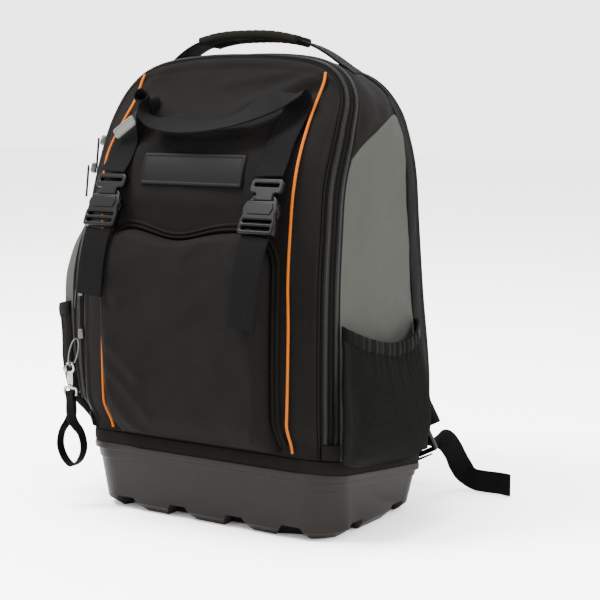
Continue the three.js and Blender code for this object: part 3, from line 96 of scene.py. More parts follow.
LOOP_ROWS = [(-1, .02, 8, (1, 0, 0)), (-1, .12, 2.4, (1, 0, 0)), (-1, .27, 2.4, (1, 0, 0)),
             (-.96, .39, 10, (.85, -.52, 0)), (-.9, .49, 16, (.567, -.824, 0)),
             (-.84, .545, 18, (.567, -.824, 0)), (-.77, .51, 19, (.567, -.824, 0)),
             (-.71, .43, 19, (.45, -.88, -.1)), (-.55, .365, 18, (.2, -.92, -.3)),
             (-.28, .33, 17, (.05, -.93, -.36)), (0, .325, 17, (0, -.93, -.36)),
             (.3, .35, 17, (.15, -.92, -.36)), (.56, .4, 19, (.45, -.8, -.4)),
             (.76, .48, 20, (.8, -.45, -.4)), (.93, .57, 18, (.96, -.1, -.2)),
             (1, .615, 11, (1, 0, 0)), (1.02, .57, 5, (1, 0, 0)), (1.01, .46, 2.4, (1, 0, 0)),
             (1, .3, 2.4, (1, 0, 0)), (1, .14, 2.4, (1, 0, 0)), (1, .02, 8, (1, 0, 0))]
HANDLE_ROWS = [(0, 22), (.25, 20.5), (.53, 16), (.68, 11.5), (.8, 7), (.9, 3.8), (1, 3.6)]
TAIL_ROWS = [(0, 2.3, 1, (1, 0, 0)), (.6, 6, 1.01, (1, 0, .1)), (3, 20, 1.06, (.7, -.1, .6)),
             (9, 34, 1, (.3, 0, 1)), (14, 45, .72, (.05, 0, 1)), (19, 52, .36, (0, 0, 1)),
             (26, 56, .1, (0, 0, 1)), (36, 56, 0, (0, 0, 1)), (52, 53, 0, (0, 0, 1)),
             (68, 54, 0, (0, 0, 1)), (82, 51, 0, (0, 0, 1))]
SIDE_TOP = [(0, .5), (.16, .405), (.42, .345), (.75, .295), (1, .275)]
POCKET_ROWS = [(0, .4), (.12, .62), (.45, .92), (.8, 1), (1, .78)]
MOUTH_ROWS = [(0, .755), (.22, .775), (.5, .785), (.78, .772), (1, .735)]
MESH_ROWS = [(0, .42), (.25, .66), (.6, 1), (.85, .82), (.95, .45), (1, 0)]
STRAP_ROWS = [(.93, .3, 3.9), (.89, .38, 9), (.8, .5, 14), (.66, .57, 11), (.48, .57, 9),
              (.3, .6, 9), (.15, .7, 11), (.025, .87, 12)]
FOB_ROWS = [(-.015, .165, 0), (.03, .15, 0), (.09, .11, 0), (.22, .12, .15), (.36, .45, .6),
            (.52, .82, .95), (.72, .98, 1), (.88, .72, 1), (.97, .32, 1)]


# ------------------------------------------------------------------ the form, as arrays
def mix(a, b, t):
    return a + (b - a) * t


def vec(x, y, z):
    return np.stack(np.broadcast_arrays(*(np.asarray(c, float) for c in (x, y, z))), -1)


def grid(first, second):
    """Two grids, from the start, end and count of each direction."""
    return np.meshgrid(np.linspace(*first), np.linspace(*second), indexing="ij")


def within(*shares):
    """0 at the nearest edge to 1 well inside it."""
    return np.clip(np.minimum.reduce(np.broadcast_arrays(*shares)), 0, 1)


def unit(v):
    return v / np.maximum(np.linalg.norm(v, axis=-1, keepdims=True), 1e-9)


def dot(a, b):
    return (a * b).sum(-1)


def table(rows, value=1):
    """Smooth curve through a table's first column and another one."""
    xs = np.array([r[0] for r in rows], float)
    ys = np.array([r[value] for r in rows], float)
    low = np.maximum(np.arange(len(xs)) - 1, 0)
    high = np.minimum(np.arange(len(xs)) + 1, len(xs) - 1)
    slope = (ys[high] - ys[low]) / (xs[high] - xs[low])

    def at(x):
        x = np.clip(x, xs[0], xs[-1])
        i = np.clip(np.searchsorted(xs, x) - 1, 0, len(xs) - 2)
        span = xs[i + 1] - xs[i]
        t = (x - xs[i]) / span
        rise = ys[i + 1] - ys[i]
        a, b = slope[i] * span, slope[i + 1] * span
        return ys[i] + t * a + t * t * (3 * rise - 2 * a - b) + t ** 3 * (a + b - 2 * rise)
    return at


def spline(points, even=False):
    """Curve through points: centripetal, or evenly paced."""
    p = np.asarray(points, float)
    ends = np.vstack([2 * p[0] - p[1], p, 2 * p[-1] - p[-2]])

    def at(t):
        x = np.clip(np.asarray(t, float), 0, 1) * (len(p) - 1)
        i = np.clip(np.floor(x).astype(int), 0, len(p) - 2)
        w = (x - i)[..., None]
        a, b, c, d = (ends[i + k] for k in range(4))
        if even:
            m1, m2 = (c - a) / 2, (d - b) / 2
        else:
            d0, d1, d2 = (np.maximum(np.linalg.norm(q - r, axis=-1), 1e-8)[..., None] ** 0.5
                          for q, r in ((b, a), (c, b), (d, c)))
            m1 = ((b - a) / d0 - (c - a) / (d0 + d1) + (c - b) / d1) * d1
            m2 = ((c - b) / d1 - (d - b) / (d1 + d2) + (d - c) / d2) * d1
        return (b + m1 * w + (-3 * b + 3 * c - 2 * m1 - m2) * w ** 2
                + (2 * b - 2 * c + m1 + m2) * w ** 3)
    return at


def by_length(curve, divisions=800):
    """The same curve, paced by its length."""
    t = np.linspace(0, 1, divisions + 1)
    steps = np.linalg.norm(np.diff(curve(t), axis=0), axis=1)
    run = np.concatenate([[0], np.cumsum(steps)])

    def at(u):
        return curve(np.interp(np.clip(u, 0, 1) * run[-1], run, t))
    return at, run[-1]


def tangent(curve, t, d=1e-4):
    return unit(curve(np.clip(t + d, 0, 1)) - curve(np.clip(t - d, 0, 1)))


def rim_top(y):
    return mix(RIM_FRONT, RIM_BACK, y / BASE_DEPTH + 0.5)


def foot_at(y):
    return rim_top(y) + BAND_HEIGHT + 2 * GAP


FRONT_FOOT, REAR_FOOT = foot_at(-FRONT_REACH), foot_at(REAR_REACH)
reach_at, half_at, crown_at = table(FRONT_ARCH, 2), table(FRONT_ARCH, 1), table(CROWN_ROWS)


def up_share(z):
    return (z - FRONT_FOOT) / (ARCH_TOP - FRONT_FOOT)


def seam_depth(z):
    return -FRONT_REACH * reach_at(up_share(z))


def arch_curve(rows, foot, top, width):
    half = [(r[1] * width / 2, mix(foot, top, r[0])) for r in rows]
    points = [(-x, 0, z) for x, z in half] + [(x, 0, z) for x, z in half[-2::-1]]
    return by_length(spline(points))


front_curve, FRONT_LENGTH = arch_curve(FRONT_ARCH, FRONT_FOOT, ARCH_TOP, SEAM_WIDTH)
rear_curve = arch_curve(REAR_ARCH, REAR_FOOT, REAR_TOP, REAR_WIDTH)[0]


def front_seam(u):
    p = front_curve((u + 1) / 2)
    return vec(p[..., 0], seam_depth(p[..., 2]), p[..., 2])


def rear_seam(u):
    p = rear_curve((u + 1) / 2)
    return vec(p[..., 0], REAR_REACH, p[..., 2])


def arch_normal(u):
    share = np.clip((u + 1) / 2, 0.001, 0.999)
    t = (tangent(front_curve, share) + tangent(rear_curve, share)) / 2
    return unit(vec(-t[..., 2], 0, t[..., 0]))


def settle(p):
    """Draws the lowest stretch of the cloth in to the binding on the tray."""
    share = np.clip((p[..., 2] - foot_at(p[..., 1])) / SETTLE, 0, 1)
    free = (share * share * (3 - 2 * share))[..., None]
    radius = BASE_CORNER - BAND_INSET - 0.5
    x, y = BASE_WIDTH / 2 - BASE_CORNER, BASE_DEPTH / 2 - BASE_CORNER
    core = vec(np.clip(p[..., 0], -x, x), np.clip(p[..., 1], -y, y), p[..., 2])
    away = p - core
    away[..., 2] = 0
    return mix(core + unit(away) * radius, p, free)


edge_cols = [table(EDGE_ROWS, k) for k in (1, 2, 3, 4)]
sag_at = table(SAG_ROWS)


def edge_at(u, g):
    share = np.clip(g / EDGE_LENGTH, 0, 1)
    sag = np.where(u < 0, sag_at(up_share(front_seam(u)[..., 2])), 0)
    out, back, sag_out, sag_back = (c(share) for c in edge_cols)
    return EDGE_LENGTH * mix(out, sag_out, sag), EDGE_LENGTH * mix(back, sag_back, sag)


def seam_span(u):
    return np.linalg.norm(rear_seam(u) - front_seam(u), axis=-1)


def gusset_length(u):
    return EDGE_LENGTH + seam_span(u) - edge_at(u, EDGE_LENGTH)[1]


def gusset_point(u, g):
    u, g = np.broadcast_arrays(np.asarray(u, float), np.asarray(g, float))
    depth = seam_span(u)
    side = np.minimum(np.abs(u) * 2.4, 1)
    out, start = edge_at(u, g)
    rear = np.maximum(g - EDGE_LENGTH, 0)
    back = start + rear
    share = np.minimum(rear / (depth - start), 1)
    even = share * share * (3 - 2 * share)
    swell = SIDE_BULGE * side * np.sin(np.pi * np.minimum(back / depth, 1))
    p = mix(front_seam(u), rear_seam(u), (back / depth)[..., None])
    rise = mix(out, EDGE_LENGTH * EDGE_ROWS[-1][1], even) * mix(EDGE_TOP_SHARE, 1, side)
    return settle(p + arch_normal(u) * (rise + swell)[..., None])


def keep_up(p):
    p[..., 2] = np.maximum(p[..., 2], foot_at(p[..., 1]))
    return p


def normal_of(surface, u, g, du, dg):
    return unit(np.cross(surface(u + du, g) - surface(u - du, g),
                         surface(u, g + dg) - surface(u, g - dg)))


def gusset(u, g, lift=0.0):
    """A point of the side and top cloth, g along it behind the front seam, lifted off it."""
    u, g = np.broadcast_arrays(np.asarray(u, float), np.asarray(g, float))
    safe = np.clip(u, -0.999, 0.999)
    n = normal_of(gusset_point, safe, np.maximum(g, 0.2), 0.001, 0.2)
    facing = dot(n, arch_normal(safe) + np.array([0, -0.6, 0]))
    n = n * np.where(facing < 0, -1, 1)[..., None]
    return keep_up(gusset_point(u, g) + n * np.broadcast_to(lift, u.shape)[..., None])


def front_point(x, z):
    x, z = np.broadcast_arrays(np.asarray(x, float), np.asarray(z, float))
    up = np.clip(up_share(z), 0, 1)
    half = np.maximum(half_at(up) * SEAM_WIDTH / 2, 1)
    middle = 1 - np.minimum(np.abs(x) / half, 1) ** 6
    return settle(vec(x, seam_depth(z) - CROWN * crown_at(up) * middle, z))


def front(x, z, lift=0.0):
    """A point of the front cloth, lifted off it."""
    x, z = np.broadcast_arrays(np.asarray(x, float), np.asarray(z, float))
    n = normal_of(front_point, x, z, 0.5, 0.5)
    n = n * np.where(n[..., 1] > 0, -1, 1)[..., None]
    return keep_up(front_point(x, z) + n * np.broadcast_to(lift, x.shape)[..., None])


def arch_grid(curve, s, v, inset):
    corner = 0.27

    def edge(u):
        u = np.asarray(u, float)
        p = curve((u + 1) / 2)
        t = tangent(curve, np.clip((u + 1) / 2, 0.001, 0.999))
        return vec(p[..., 0], 0, p[..., 2]) + unit(vec(-t[..., 2], 0, t[..., 0])) * -inset
    a = ((s + 1) / 2)[..., None]
    w = v[..., None]
    low = mix(edge(-1), edge(1), a)
    sides = mix(edge(mix(-1, -corner, v)), edge(mix(1, corner, v)), a)
    caps = mix(low, edge(s * corner), w)
    return sides + caps - mix(low, mix(edge(-corner), edge(corner), a), w)


# ------------------------------------------------------------------ folds and unevenness
def waves(a, b, size, seed, count=7):
    """Soft unevenness of about 1, with features of about this size."""
    rng = np.random.RandomState(seed)
    total = np.zeros(np.broadcast(a, b).shape)
    for _ in range(count):
        turn, phase = rng.uniform(0, math.pi), rng.uniform(0, 2 * math.pi)
        scale = 2 * math.pi / (size * rng.uniform(0.7, 1.5))
        total = total + np.sin((a * math.cos(turn) + b * math.sin(turn)) * scale + phase)
    return total / math.sqrt(count)


def fold(a, b, start, end, width, height, lean=0.0):
    """A ridge or, below 0, a crease along a line, fading out at both ends."""
    (x0, y0), (x1, y1) = start, end
    length = math.hypot(x1 - x0, y1 - y0)
    ux, uy = (x1 - x0) / length, (y1 - y0) / length
    t = ((a - x0) * ux + (b - y0) * uy) / length
    d = -(a - x0) * uy + (b - y0) * ux + lean * length * t * (1 - t)
    fade = np.clip(np.minimum(t, 1 - t) * 4 + 0.15, 0, 1)
    fade = fade * fade * (3 - 2 * fade)
    return height * fade * np.exp(-(d / width) ** 2)


def folds(a, b, *rows):
    return sum(fold(a, b, *row) for row in rows)


# ------------------------------------------------------------------ meshes
materials = {}


def shade_smooth(mesh, angle):
    mesh.polygons.foreach_set("use_smooth", [True] * len(mesh.polygons))
    mesh.set_sharp_from_angle(angle=math.radians(angle))


def applied(obj):
    """The object's mesh with its modifiers applied, which takes the place of its own."""
    graph = bpy.context.evaluated_depsgraph_get()
    made = bpy.data.meshes.new_from_object(obj.evaluated_get(graph))
    obj.modifiers.clear()
    obj.data = made
    return made


def soften(obj, width, segments, angle):
    soft = obj.modifiers.new("soft", "BEVEL")
    soft.width = width * MM
    soft.segments = segments
    soft.limit_method = "ANGLE"
    soft.angle_limit = math.radians(angle)


def new_object(name, verts, faces, uv, material, body, smooth=40, replaces=None):
    mesh = bpy.data.meshes.new(name)
    verts = np.asarray(verts, float).reshape(-1, 3) * MM
    faces = [list(map(int, f)) for f in faces]
    mesh.from_pydata(verts.tolist(), [], faces)
    mesh.validate()
    if uv is not None:
        uv = np.asarray(uv, float).reshape(-1, 2) * MM
        layer = mesh.uv_layers.new(name="cloth")
        index = np.zeros(len(mesh.loops), int)
        mesh.loops.foreach_get("vertex_index", index)
        layer.data.foreach_set("uv", uv[index].astype(np.float32).ravel())
    shade_smooth(mesh, smooth)
    obj = bpy.data.objects.new(name, mesh)
    bpy.context.scene.collection.objects.link(obj)
    mesh.materials.append(materials[material])
    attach(obj, body)
    if replaces:
        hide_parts(replaces)
    return obj


def grid_faces(rows, cols, closed=False, start=0):
    i, j = np.meshgrid(np.arange(rows if closed else rows - 1), np.arange(cols - 1),
                       indexing="ij")
    k = (i + 1) % rows
    quads = np.stack([i * cols + j, k * cols + j, k * cols + j + 1, i * cols + j + 1], -1)
    return quads.reshape(-1, 4) + start


def sheet_mesh(outer, inner):
    """Closed sheet between two grids."""
    rows, cols = outer.shape[:2]
    layer = rows * cols
    top = grid_faces(rows, cols)
    back = grid_faces(rows, cols, start=layer)[:, ::-1]
    rim = ([(i, 0) for i in range(rows - 1)] + [(rows - 1, j) for j in range(cols - 1)]
           + [(i, cols - 1) for i in range(rows - 1, 0, -1)]
           + [(0, j) for j in range(cols - 1, 0, -1)])
    ids = np.array([i * cols + j for i, j in rim])
    nxt = np.roll(ids, -1)
    side = np.stack([nxt, ids, ids + layer, nxt + layer], -1)
    faces = np.vstack([top, back, side])
    verts = np.concatenate([outer.reshape(-1, 3), inner.reshape(-1, 3)])
    v = verts[faces[:, :3]]
    volume = dot(v[:, 0], np.cross(v[:, 1], v[:, 2])).sum()
    v = verts[faces[:, [0, 2, 3]]]
    volume += dot(v[:, 0], np.cross(v[:, 1], v[:, 2])).sum()
    return verts, faces if volume > 0 else faces[:, ::-1]


def sheet_piece(name, outer, inner, uv, material, replaces=None, smooth=50):
    verts, faces = sheet_mesh(outer, inner)
    uv = np.stack(np.broadcast_arrays(*uv), -1).reshape(-1, 2)
    return new_object(name, verts, faces, np.concatenate([uv] * 2), material, "bag",
                      smooth, replaces)


def loft_mesh(rings, closed=False):
    """Rings of points joined up: rows, points, 3."""
    rows, count = rings.shape[:2]
    verts = rings.reshape(-1, 3)
    faces = []
    for i in range(rows if closed else rows - 1):
        k = (i + 1) % rows
        for j in range(count):
            n = (j + 1) % count
            faces.append([i * count + j, i * count + n, k * count + n, k * count + j])
    if not closed:
        faces.append(list(range(count))[::-1])
        faces.append([(rows - 1) * count + j for j in range(count)])
    if signed(verts, faces) < 0:
        faces = [f[::-1] for f in faces]
    return verts, faces


def ring_uv(rings, around, run):
    """The cloth map of rings: round each one, and from one to the next."""
    return np.stack([np.broadcast_to(around, rings.shape[:2]),
                     np.broadcast_to(run[:, None], rings.shape[:2])], -1)


def signed(verts, faces):
    """Volume of a closed mesh, six times over; below zero where it is inside out."""
    verts = np.asarray(verts, float)
    groups = {}
    for f in faces:
        groups.setdefault(len(f), []).append(f)
    total = 0.0
    for size, items in groups.items():
        p = verts[np.array(items, int)]
        for k in range(1, size - 1):
            total += float(np.sum(p[:, 0] * np.cross(p[:, k], p[:, k + 1])))
    return total


def run_along(centres):
    steps = np.linalg.norm(np.diff(centres, axis=0), axis=1)
    return np.concatenate([[0], np.cumsum(steps)])


def section(width, thick, bevel=0.6, per=3):
    """Outline of a strap's section with soft edges, and the place across of each point."""
    x, y, r = width / 2, thick / 2, min(bevel, thick / 2 - 0.01)
    points = []
    for cx, cy, start in ((x - r, y - r, 0), (-x + r, y - r, 90), (-x + r, -y + r, 180),
                          (x - r, -y + r, 270)):
        for k in range(per + 1):
            a = math.radians(start + 90 * k / per)
            points.append((cx + r * math.cos(a), cy + r * math.sin(a)))
        nx, ny = points[-1]
        if start in (0, 180):
            for k in range(1, 6):
                points.append((mix(nx, -nx, k / 6), ny))
    return np.array(points)


def sweep(centres, across, outline, shape=None):
    """Rings of an outline along centres; across is the direction of its width."""
    along = unit(np.gradient(centres, axis=0))
    flat = unit(across - along * dot(across, along)[:, None])
    face = np.cross(along, flat)
    o = np.broadcast_to(outline, (len(centres),) + outline.shape).copy()
    if shape is not None:
        o = shape(o)
    return (centres[:, None] + flat[:, None] * o[..., :1] + face[:, None] * o[..., 1:])


def strap_piece(name, centres, across, width, thick, material, replaces, shape=None,
                bevel=0.6):
    outline = section(width, thick, bevel)
    rings = sweep(centres, across, outline, shape)
    verts, faces = loft_mesh(rings)
    return new_object(name, verts, faces, ring_uv(rings, outline[:, 0], run_along(centres)),
                      material, "bag", 60, replaces)


def hemmed(rows):
    """Shape of webbing whose end is turned under over so many rows."""
    def shape(o):
        o[-rows:, :, 1] += np.where(o[-rows:, :, 1] < 0, -0.9, 0)
        return o
    return shape


def ribbon_path(centres, across, count):
    t = np.linspace(0, 1, count)
    return spline(centres)(t), spline(across, even=True)(t)


def tube_piece(name, centres, radius, material, replaces, sides=12):
    along = unit(np.gradient(centres, axis=0))
    side = unit(np.array([1.0, 0, 0]) - along * along[:, :1])
    face = np.cross(along, side)
    a = np.linspace(0, 2 * math.pi, sides, endpoint=False)
    rings = centres[:, None] + radius * (side[:, None] * np.cos(a)[None, :, None]
                                         + face[:, None] * np.sin(a)[None, :, None])
    verts, faces = loft_mesh(rings)
    return new_object(name, verts, faces, ring_uv(rings, a * radius, run_along(centres)),
                      material, "bag", 70, replaces)


def bars(name, starts, ends, up, radius, material, sides=5):
    """Many short round bars, such as teeth, joined into one mesh."""
    along = unit(ends - starts)
    side = unit(np.cross(along, up))
    face = np.cross(side, along)
    a = np.linspace(0, 2 * math.pi, sides, endpoint=False)
    ring = (side[:, None] * np.cos(a)[None, :, None]
            + face[:, None] * np.sin(a)[None, :, None]) * radius
    rows = []
    for t, grow in ((0.0, 0.45), (0.22, 1.0), (0.78, 1.0), (1.0, 0.45)):
        rows.append(mix(starts, ends, t)[:, None] + ring * grow)
    rings = np.stack(rows, 1)
    count, layers = rings.shape[:2]
    verts = rings.reshape(-1, 3)
    i, j = np.meshgrid(np.arange(layers - 1), np.arange(sides), indexing="ij")
    n = (j + 1) % sides
    quad = np.stack([i * sides + j, i * sides + n, (i + 1) * sides + n, (i + 1) * sides + j],
                    -1).reshape(-1, 4)
    caps = [list(range(sides))[::-1], [(layers - 1) * sides + k for k in range(sides)]]
    base = np.arange(count) * layers * sides
    faces = (quad[None] + base[:, None, None]).reshape(-1, 4).tolist()
    for b in base:
        faces += [[b + k for k in cap] for cap in caps]
    one = quad.tolist() + caps
    if signed(verts[: layers * sides], one) < 0:
        faces = [f[::-1] for f in faces]
    return new_object(name, verts, faces, None, material, "bag", 60)


# ------------------------------------------------------------------ materials
class Tree:
    """Short ways to write a material's nodes."""

    def __init__(self, name, color, rough, **more):
        self.material = bpy.data.materials.new(name)
        self.material.use_nodes = True
        self.material.diffuse_color = (*color, 1)
        self.tree = self.material.node_tree
        self.shader = self.tree.nodes["Principled BSDF"]
        self.set("Base Color", (*color, 1))
        self.set("Roughness", rough)
        for key, value in more.items():
            self.set(key.replace("_", " "), value)
        materials[name] = self.material

    def set(self, key, value):
        socket = self.shader.inputs[key]
        if isinstance(value, bpy.types.NodeSocket):
            self.tree.links.new(value, socket)
        else:
            socket.default_value = value

    def node(self, kind, inputs=(), **settings):
        made = self.tree.nodes.new(kind)
        for key, value in settings.items():
            setattr(made, key, value)
        for key, value in dict(inputs).items():
            if isinstance(value, bpy.types.NodeSocket):
                self.tree.links.new(value, made.inputs[key])
            else:
                made.inputs[key].default_value = value
        return made

    def math(self, operation, a, b=0.0, c=0.0):
        return self.node("ShaderNodeMath", {0: a, 1: b, 2: c}, operation=operation).outputs[0]

    def cloth_place(self):
        uv = self.node("ShaderNodeUVMap", uv_map="cloth").outputs[0]
        parts = self.node("ShaderNodeSeparateXYZ", {0: uv})
        return uv, parts.outputs[0], parts.outputs[1]

    def noise(self, vector, scale, detail=3.0, rough=0.6):
        made = self.node("ShaderNodeTexNoise", {"Scale": scale, "Detail": detail,
                                                "Roughness": rough})
        if vector is not None:
            self.tree.links.new(vector, made.inputs["Vector"])
        return made.outputs["Fac"]

    def solid_place(self):
        return self.node("ShaderNodeTexCoord").outputs["Object"]

    def sine(self, value, pitch, phase=0.0):
        turned = self.math("MULTIPLY_ADD", value, math.pi / (pitch * MM), phase)
        return self.math("SINE", turned)

    def tint(self, factor, dark, light, low=0.3, high=0.7):
        ramp = self.node("ShaderNodeValToRGB", {"Fac": factor})
        ramp.color_ramp.elements[0].position = low
        ramp.color_ramp.elements[1].position = high
        ramp.color_ramp.elements[0].color = (*dark, 1)
        ramp.color_ramp.elements[1].color = (*light, 1)
        self.set("Base Color", ramp.outputs["Color"])
        return ramp.outputs["Color"]

    def bump(self, *layers):
        """Layers of (height, millimetres, strength), the coarsest first."""
        normal = None
        for height, deep, strength in layers:
            made = self.node("ShaderNodeBump", {"Height": height, "Distance": deep * MM,
                                                "Strength": strength})
            if normal is not None:
                self.tree.links.new(normal, made.inputs["Normal"])
            normal = made.outputs["Normal"]
        self.set("Normal", normal)


def shade(color, factor):
    return tuple(c * factor for c in color)


def woven(name, color, pitch=0.9, depth=0.25, rough=0.82, speck=0.35, sheen=0.12, blotch=0.16):
    """Woven cloth: crossing threads, uneven yarn and a soft sheen."""
    t = Tree(name, color, rough, Sheen_Weight=sheen * 0.03, Sheen_Roughness=0.5)
    t.set("Specular IOR Level", 0.02)
    uv, u, v = t.cloth_place()
    cross = t.math("MULTIPLY", t.sine(u, pitch), t.sine(v, pitch))
    yarn = t.noise(uv, 900.0, 2.0)
    grain = t.math("MULTIPLY_ADD", yarn, 0.8, cross)
    soft = t.noise(uv, 28.0, 4.0)
    lit = t.math("MULTIPLY_ADD", cross, speck * 0.5, t.math(
        "MULTIPLY_ADD", soft, blotch * 2, t.math("MULTIPLY_ADD", yarn, speck, 0.5 - blotch
                                                 - speck / 2)))
    t.tint(lit, shade(color, 0.55), shade(color, 1.5), 0.0, 1.0)
    t.bump((soft, 0.8, 0.35), (grain, depth, 0.9))
    return t


def ribbed(name, color, across=1.5, along=1.1, depth=0.3, rough=0.7, sheen=0.1):
    """Webbing: fine ribs along it, crossed by its weft."""
    t = Tree(name, color, rough, Sheen_Weight=sheen * 0.02, Sheen_Roughness=0.45)
    t.set("Specular IOR Level", 0.03)
    uv, u, v = t.cloth_place()
    row = t.math("ABSOLUTE", t.sine(u, across))
    shifted = t.math("MULTIPLY_ADD", u, 0.55, v)
    weft = t.math("MULTIPLY", t.sine(shifted, along), row)
    yarn = t.noise(uv, 1100.0, 2.0)
    height = t.math("MULTIPLY_ADD", yarn, 0.35, t.math("MULTIPLY_ADD", weft, 0.6, row))
    t.tint(t.math("MULTIPLY_ADD", weft, 0.22, t.math("MULTIPLY_ADD", yarn, 0.3, 0.35)),
           shade(color, 0.5), shade(color, 1.6), 0.0, 1.0)
    t.bump((height, depth, 0.9))
    return t


def moulded(name, color, grain=0.10, scale=1400.0, rough=0.5, patch=0.12, **more):
    """Moulded plastic or rubber: fine eroded grain and faint scuffs."""
    t = Tree(name, color, rough, **more)
    t.set("Specular IOR Level", 0.07)
    place = t.solid_place()
    fine = t.noise(place, scale, 3.0, 0.7)
    wide = t.noise(place, 18.0, 5.0, 0.65)
    t.tint(t.math("MULTIPLY_ADD", fine, 0.25, t.math("MULTIPLY_ADD", wide, patch * 3,
                                                     0.37 - patch * 1.5)),
           shade(color, 0.72), shade(color, 1.32), 0.0, 1.0)
    worn = t.math("MULTIPLY_ADD", wide, 0.16, rough - 0.08)
    t.set("Roughness", worn)
    t.bump((wide, 0.6, 0.12), (fine, grain, 0.8))
    return t


def metal(name, color, rough=0.3):
    t = Tree(name, color, rough, Metallic=1.0)
    place = t.solid_place()
    fine = t.noise(place, 900.0, 3.0)
    wide = t.noise(place, 160.0, 4.0)
    t.tint(wide, shade(color, 0.55), shade(color, 1.15), 0.3, 0.7)
    t.set("Roughness", t.math("MULTIPLY_ADD", wide, 0.3, rough - 0.12))
    t.bump((fine, 0.05, 0.5))
    return t


BLACK = (0.0032, 0.0029, 0.0027)
woven("black_cloth", BLACK, 0.85, 0.22)
woven("panel_cloth", shade(BLACK, 1.05), 0.85, 0.22)
woven("grey_weave", (0.0275, 0.0280, 0.0250), 1.0, 0.26, speck=0.3, sheen=0.05, blotch=0.10)
woven("binding_cloth", (0.0036, 0.0032, 0.0025), 0.7, 0.16, rough=0.88)
woven("zip_tape", (0.0018, 0.0017, 0.0016), 0.55, 0.12, rough=0.85)
ribbed("webbing", (0.00095, 0.0009, 0.00085))
ribbed("elastic", (0.0014, 0.0014, 0.0012), 0.9, 0.7, 0.2)
woven("orange_cord", (0.20, 0.048, 0.0035), 0.6, 0.14, rough=0.6, speck=0.2, sheen=0.0,
      blotch=0.05)
woven("net", (0.0042, 0.0042, 0.0038), 0.35, 0.06, rough=0.75)
moulded("base_plastic", (0.0052, 0.0043, 0.0037), 0.10, 1500.0, 0.52)
moulded("buckle_plastic", (0.0007, 0.0007, 0.0007), 0.05, 1800.0, 0.34, 0.08)
moulded("black_rubber", (0.0005, 0.0005, 0.0005), 0.06, 1500.0, 0.6)
moulded("grey_rubber", (0.060, 0.060, 0.055), 0.06, 1500.0, 0.5)
# Coil teeth: black nylon, coloured lighter than the black cloth as a painted highlight so the
# dotted coils stand out against the dark tape
moulded("coil_nylon_painted_highlight", (0.0095, 0.0093, 0.0088), 0.03, 2000.0, 0.32, 0.05)
moulded("thread", (0.006, 0.0058, 0.0054), 0.03, 2500.0, 0.7, 0.05)
metal("dark_metal", (0.06, 0.058, 0.052), 0.28)
metal("bright_metal", (0.2, 0.195, 0.18), 0.26)


# ------------------------------------------------------------------ main body
def front_folds(x, z):
    """Folds of the front cloth, in millimetres."""
    lift = waves(x, z, 90, 3) * 0.7 + waves(x, z, 34, 5) * 0.3
    return lift + folds(
        x, z, ((120, 466), (10, 424), 7, 3.4, 0.05), ((122, 455), (34, 410), 5, -2.6, 0.05),
        ((122, 446), (52, 400), 5, 3.0), ((118, 430), (78, 402), 4, -2.2),
        ((96, 470), (-20, 452), 6, 1.8), ((-112, 452), (-60, 424), 6, 2.0),
        ((-84, 407), (84, 408), 2.2, 2.6), ((-84, 402), (84, 403), 2.0, -1.4),
        ((-80, 342), (70, 336), 9, 1.6), ((-100, 330), (-60, 300), 6, 1.4),
        ((112, 380), (118, 250), 5, 1.6), ((60, 500), (-40, 478), 10, 1.8),
        ((-70, 490), (-120, 440), 8, 1.8))


def front_panel():
    s, v = grid((-1, 1, 161), (0, 1, 171))
    s = np.sin(s * math.pi / 2) * 0.35 + s * 0.65
    p = arch_grid(front_curve, s, v, CLOTH + GAP)
    x, z = p[..., 0], p[..., 2]
    edge = within((1 - np.abs(s)) / 0.06, v / 0.03, (1 - v) / 0.04)
    wide = arch_grid(front_curve, s, v, 0.5)
    hem = within((1 - np.abs(s)) / 0.035, (1 - v) / 0.025)
    roll = 1.0 * np.sqrt(np.clip(1 - (2 * hem - 1) ** 2, 0, 1)) + 0.5 * (hem < 1)
    outer = front(wide[..., 0], wide[..., 2], front_folds(wide[..., 0], wide[..., 2]) * edge
                  + roll * (v > 0.02))
    inner = front(x, z, -CLOTH)
    uv = (x, z)
    sheet_piece("front_cloth", outer, inner, uv, "panel_cloth", "front_panel")


front_panel()


def arch_strip(name, start, end, lifts, across, material, replaces):
    u, t = np.meshgrid(np.linspace(-1, 1, STRIP_STEPS), np.asarray(across, float),
                       indexing="ij")
    g = mix(start, end, t)
    lift = lifts(t)
    return sheet_piece(name, gusset(u, g, lift), gusset(u, g, lift - CLOTH),
                       (g, u * FRONT_LENGTH / 2), material, replaces)


def ridge(t, middle, half, height):
    d = np.clip(1 - ((t - middle) / half) ** 2, 0, 1)
    return height * np.sqrt(d)


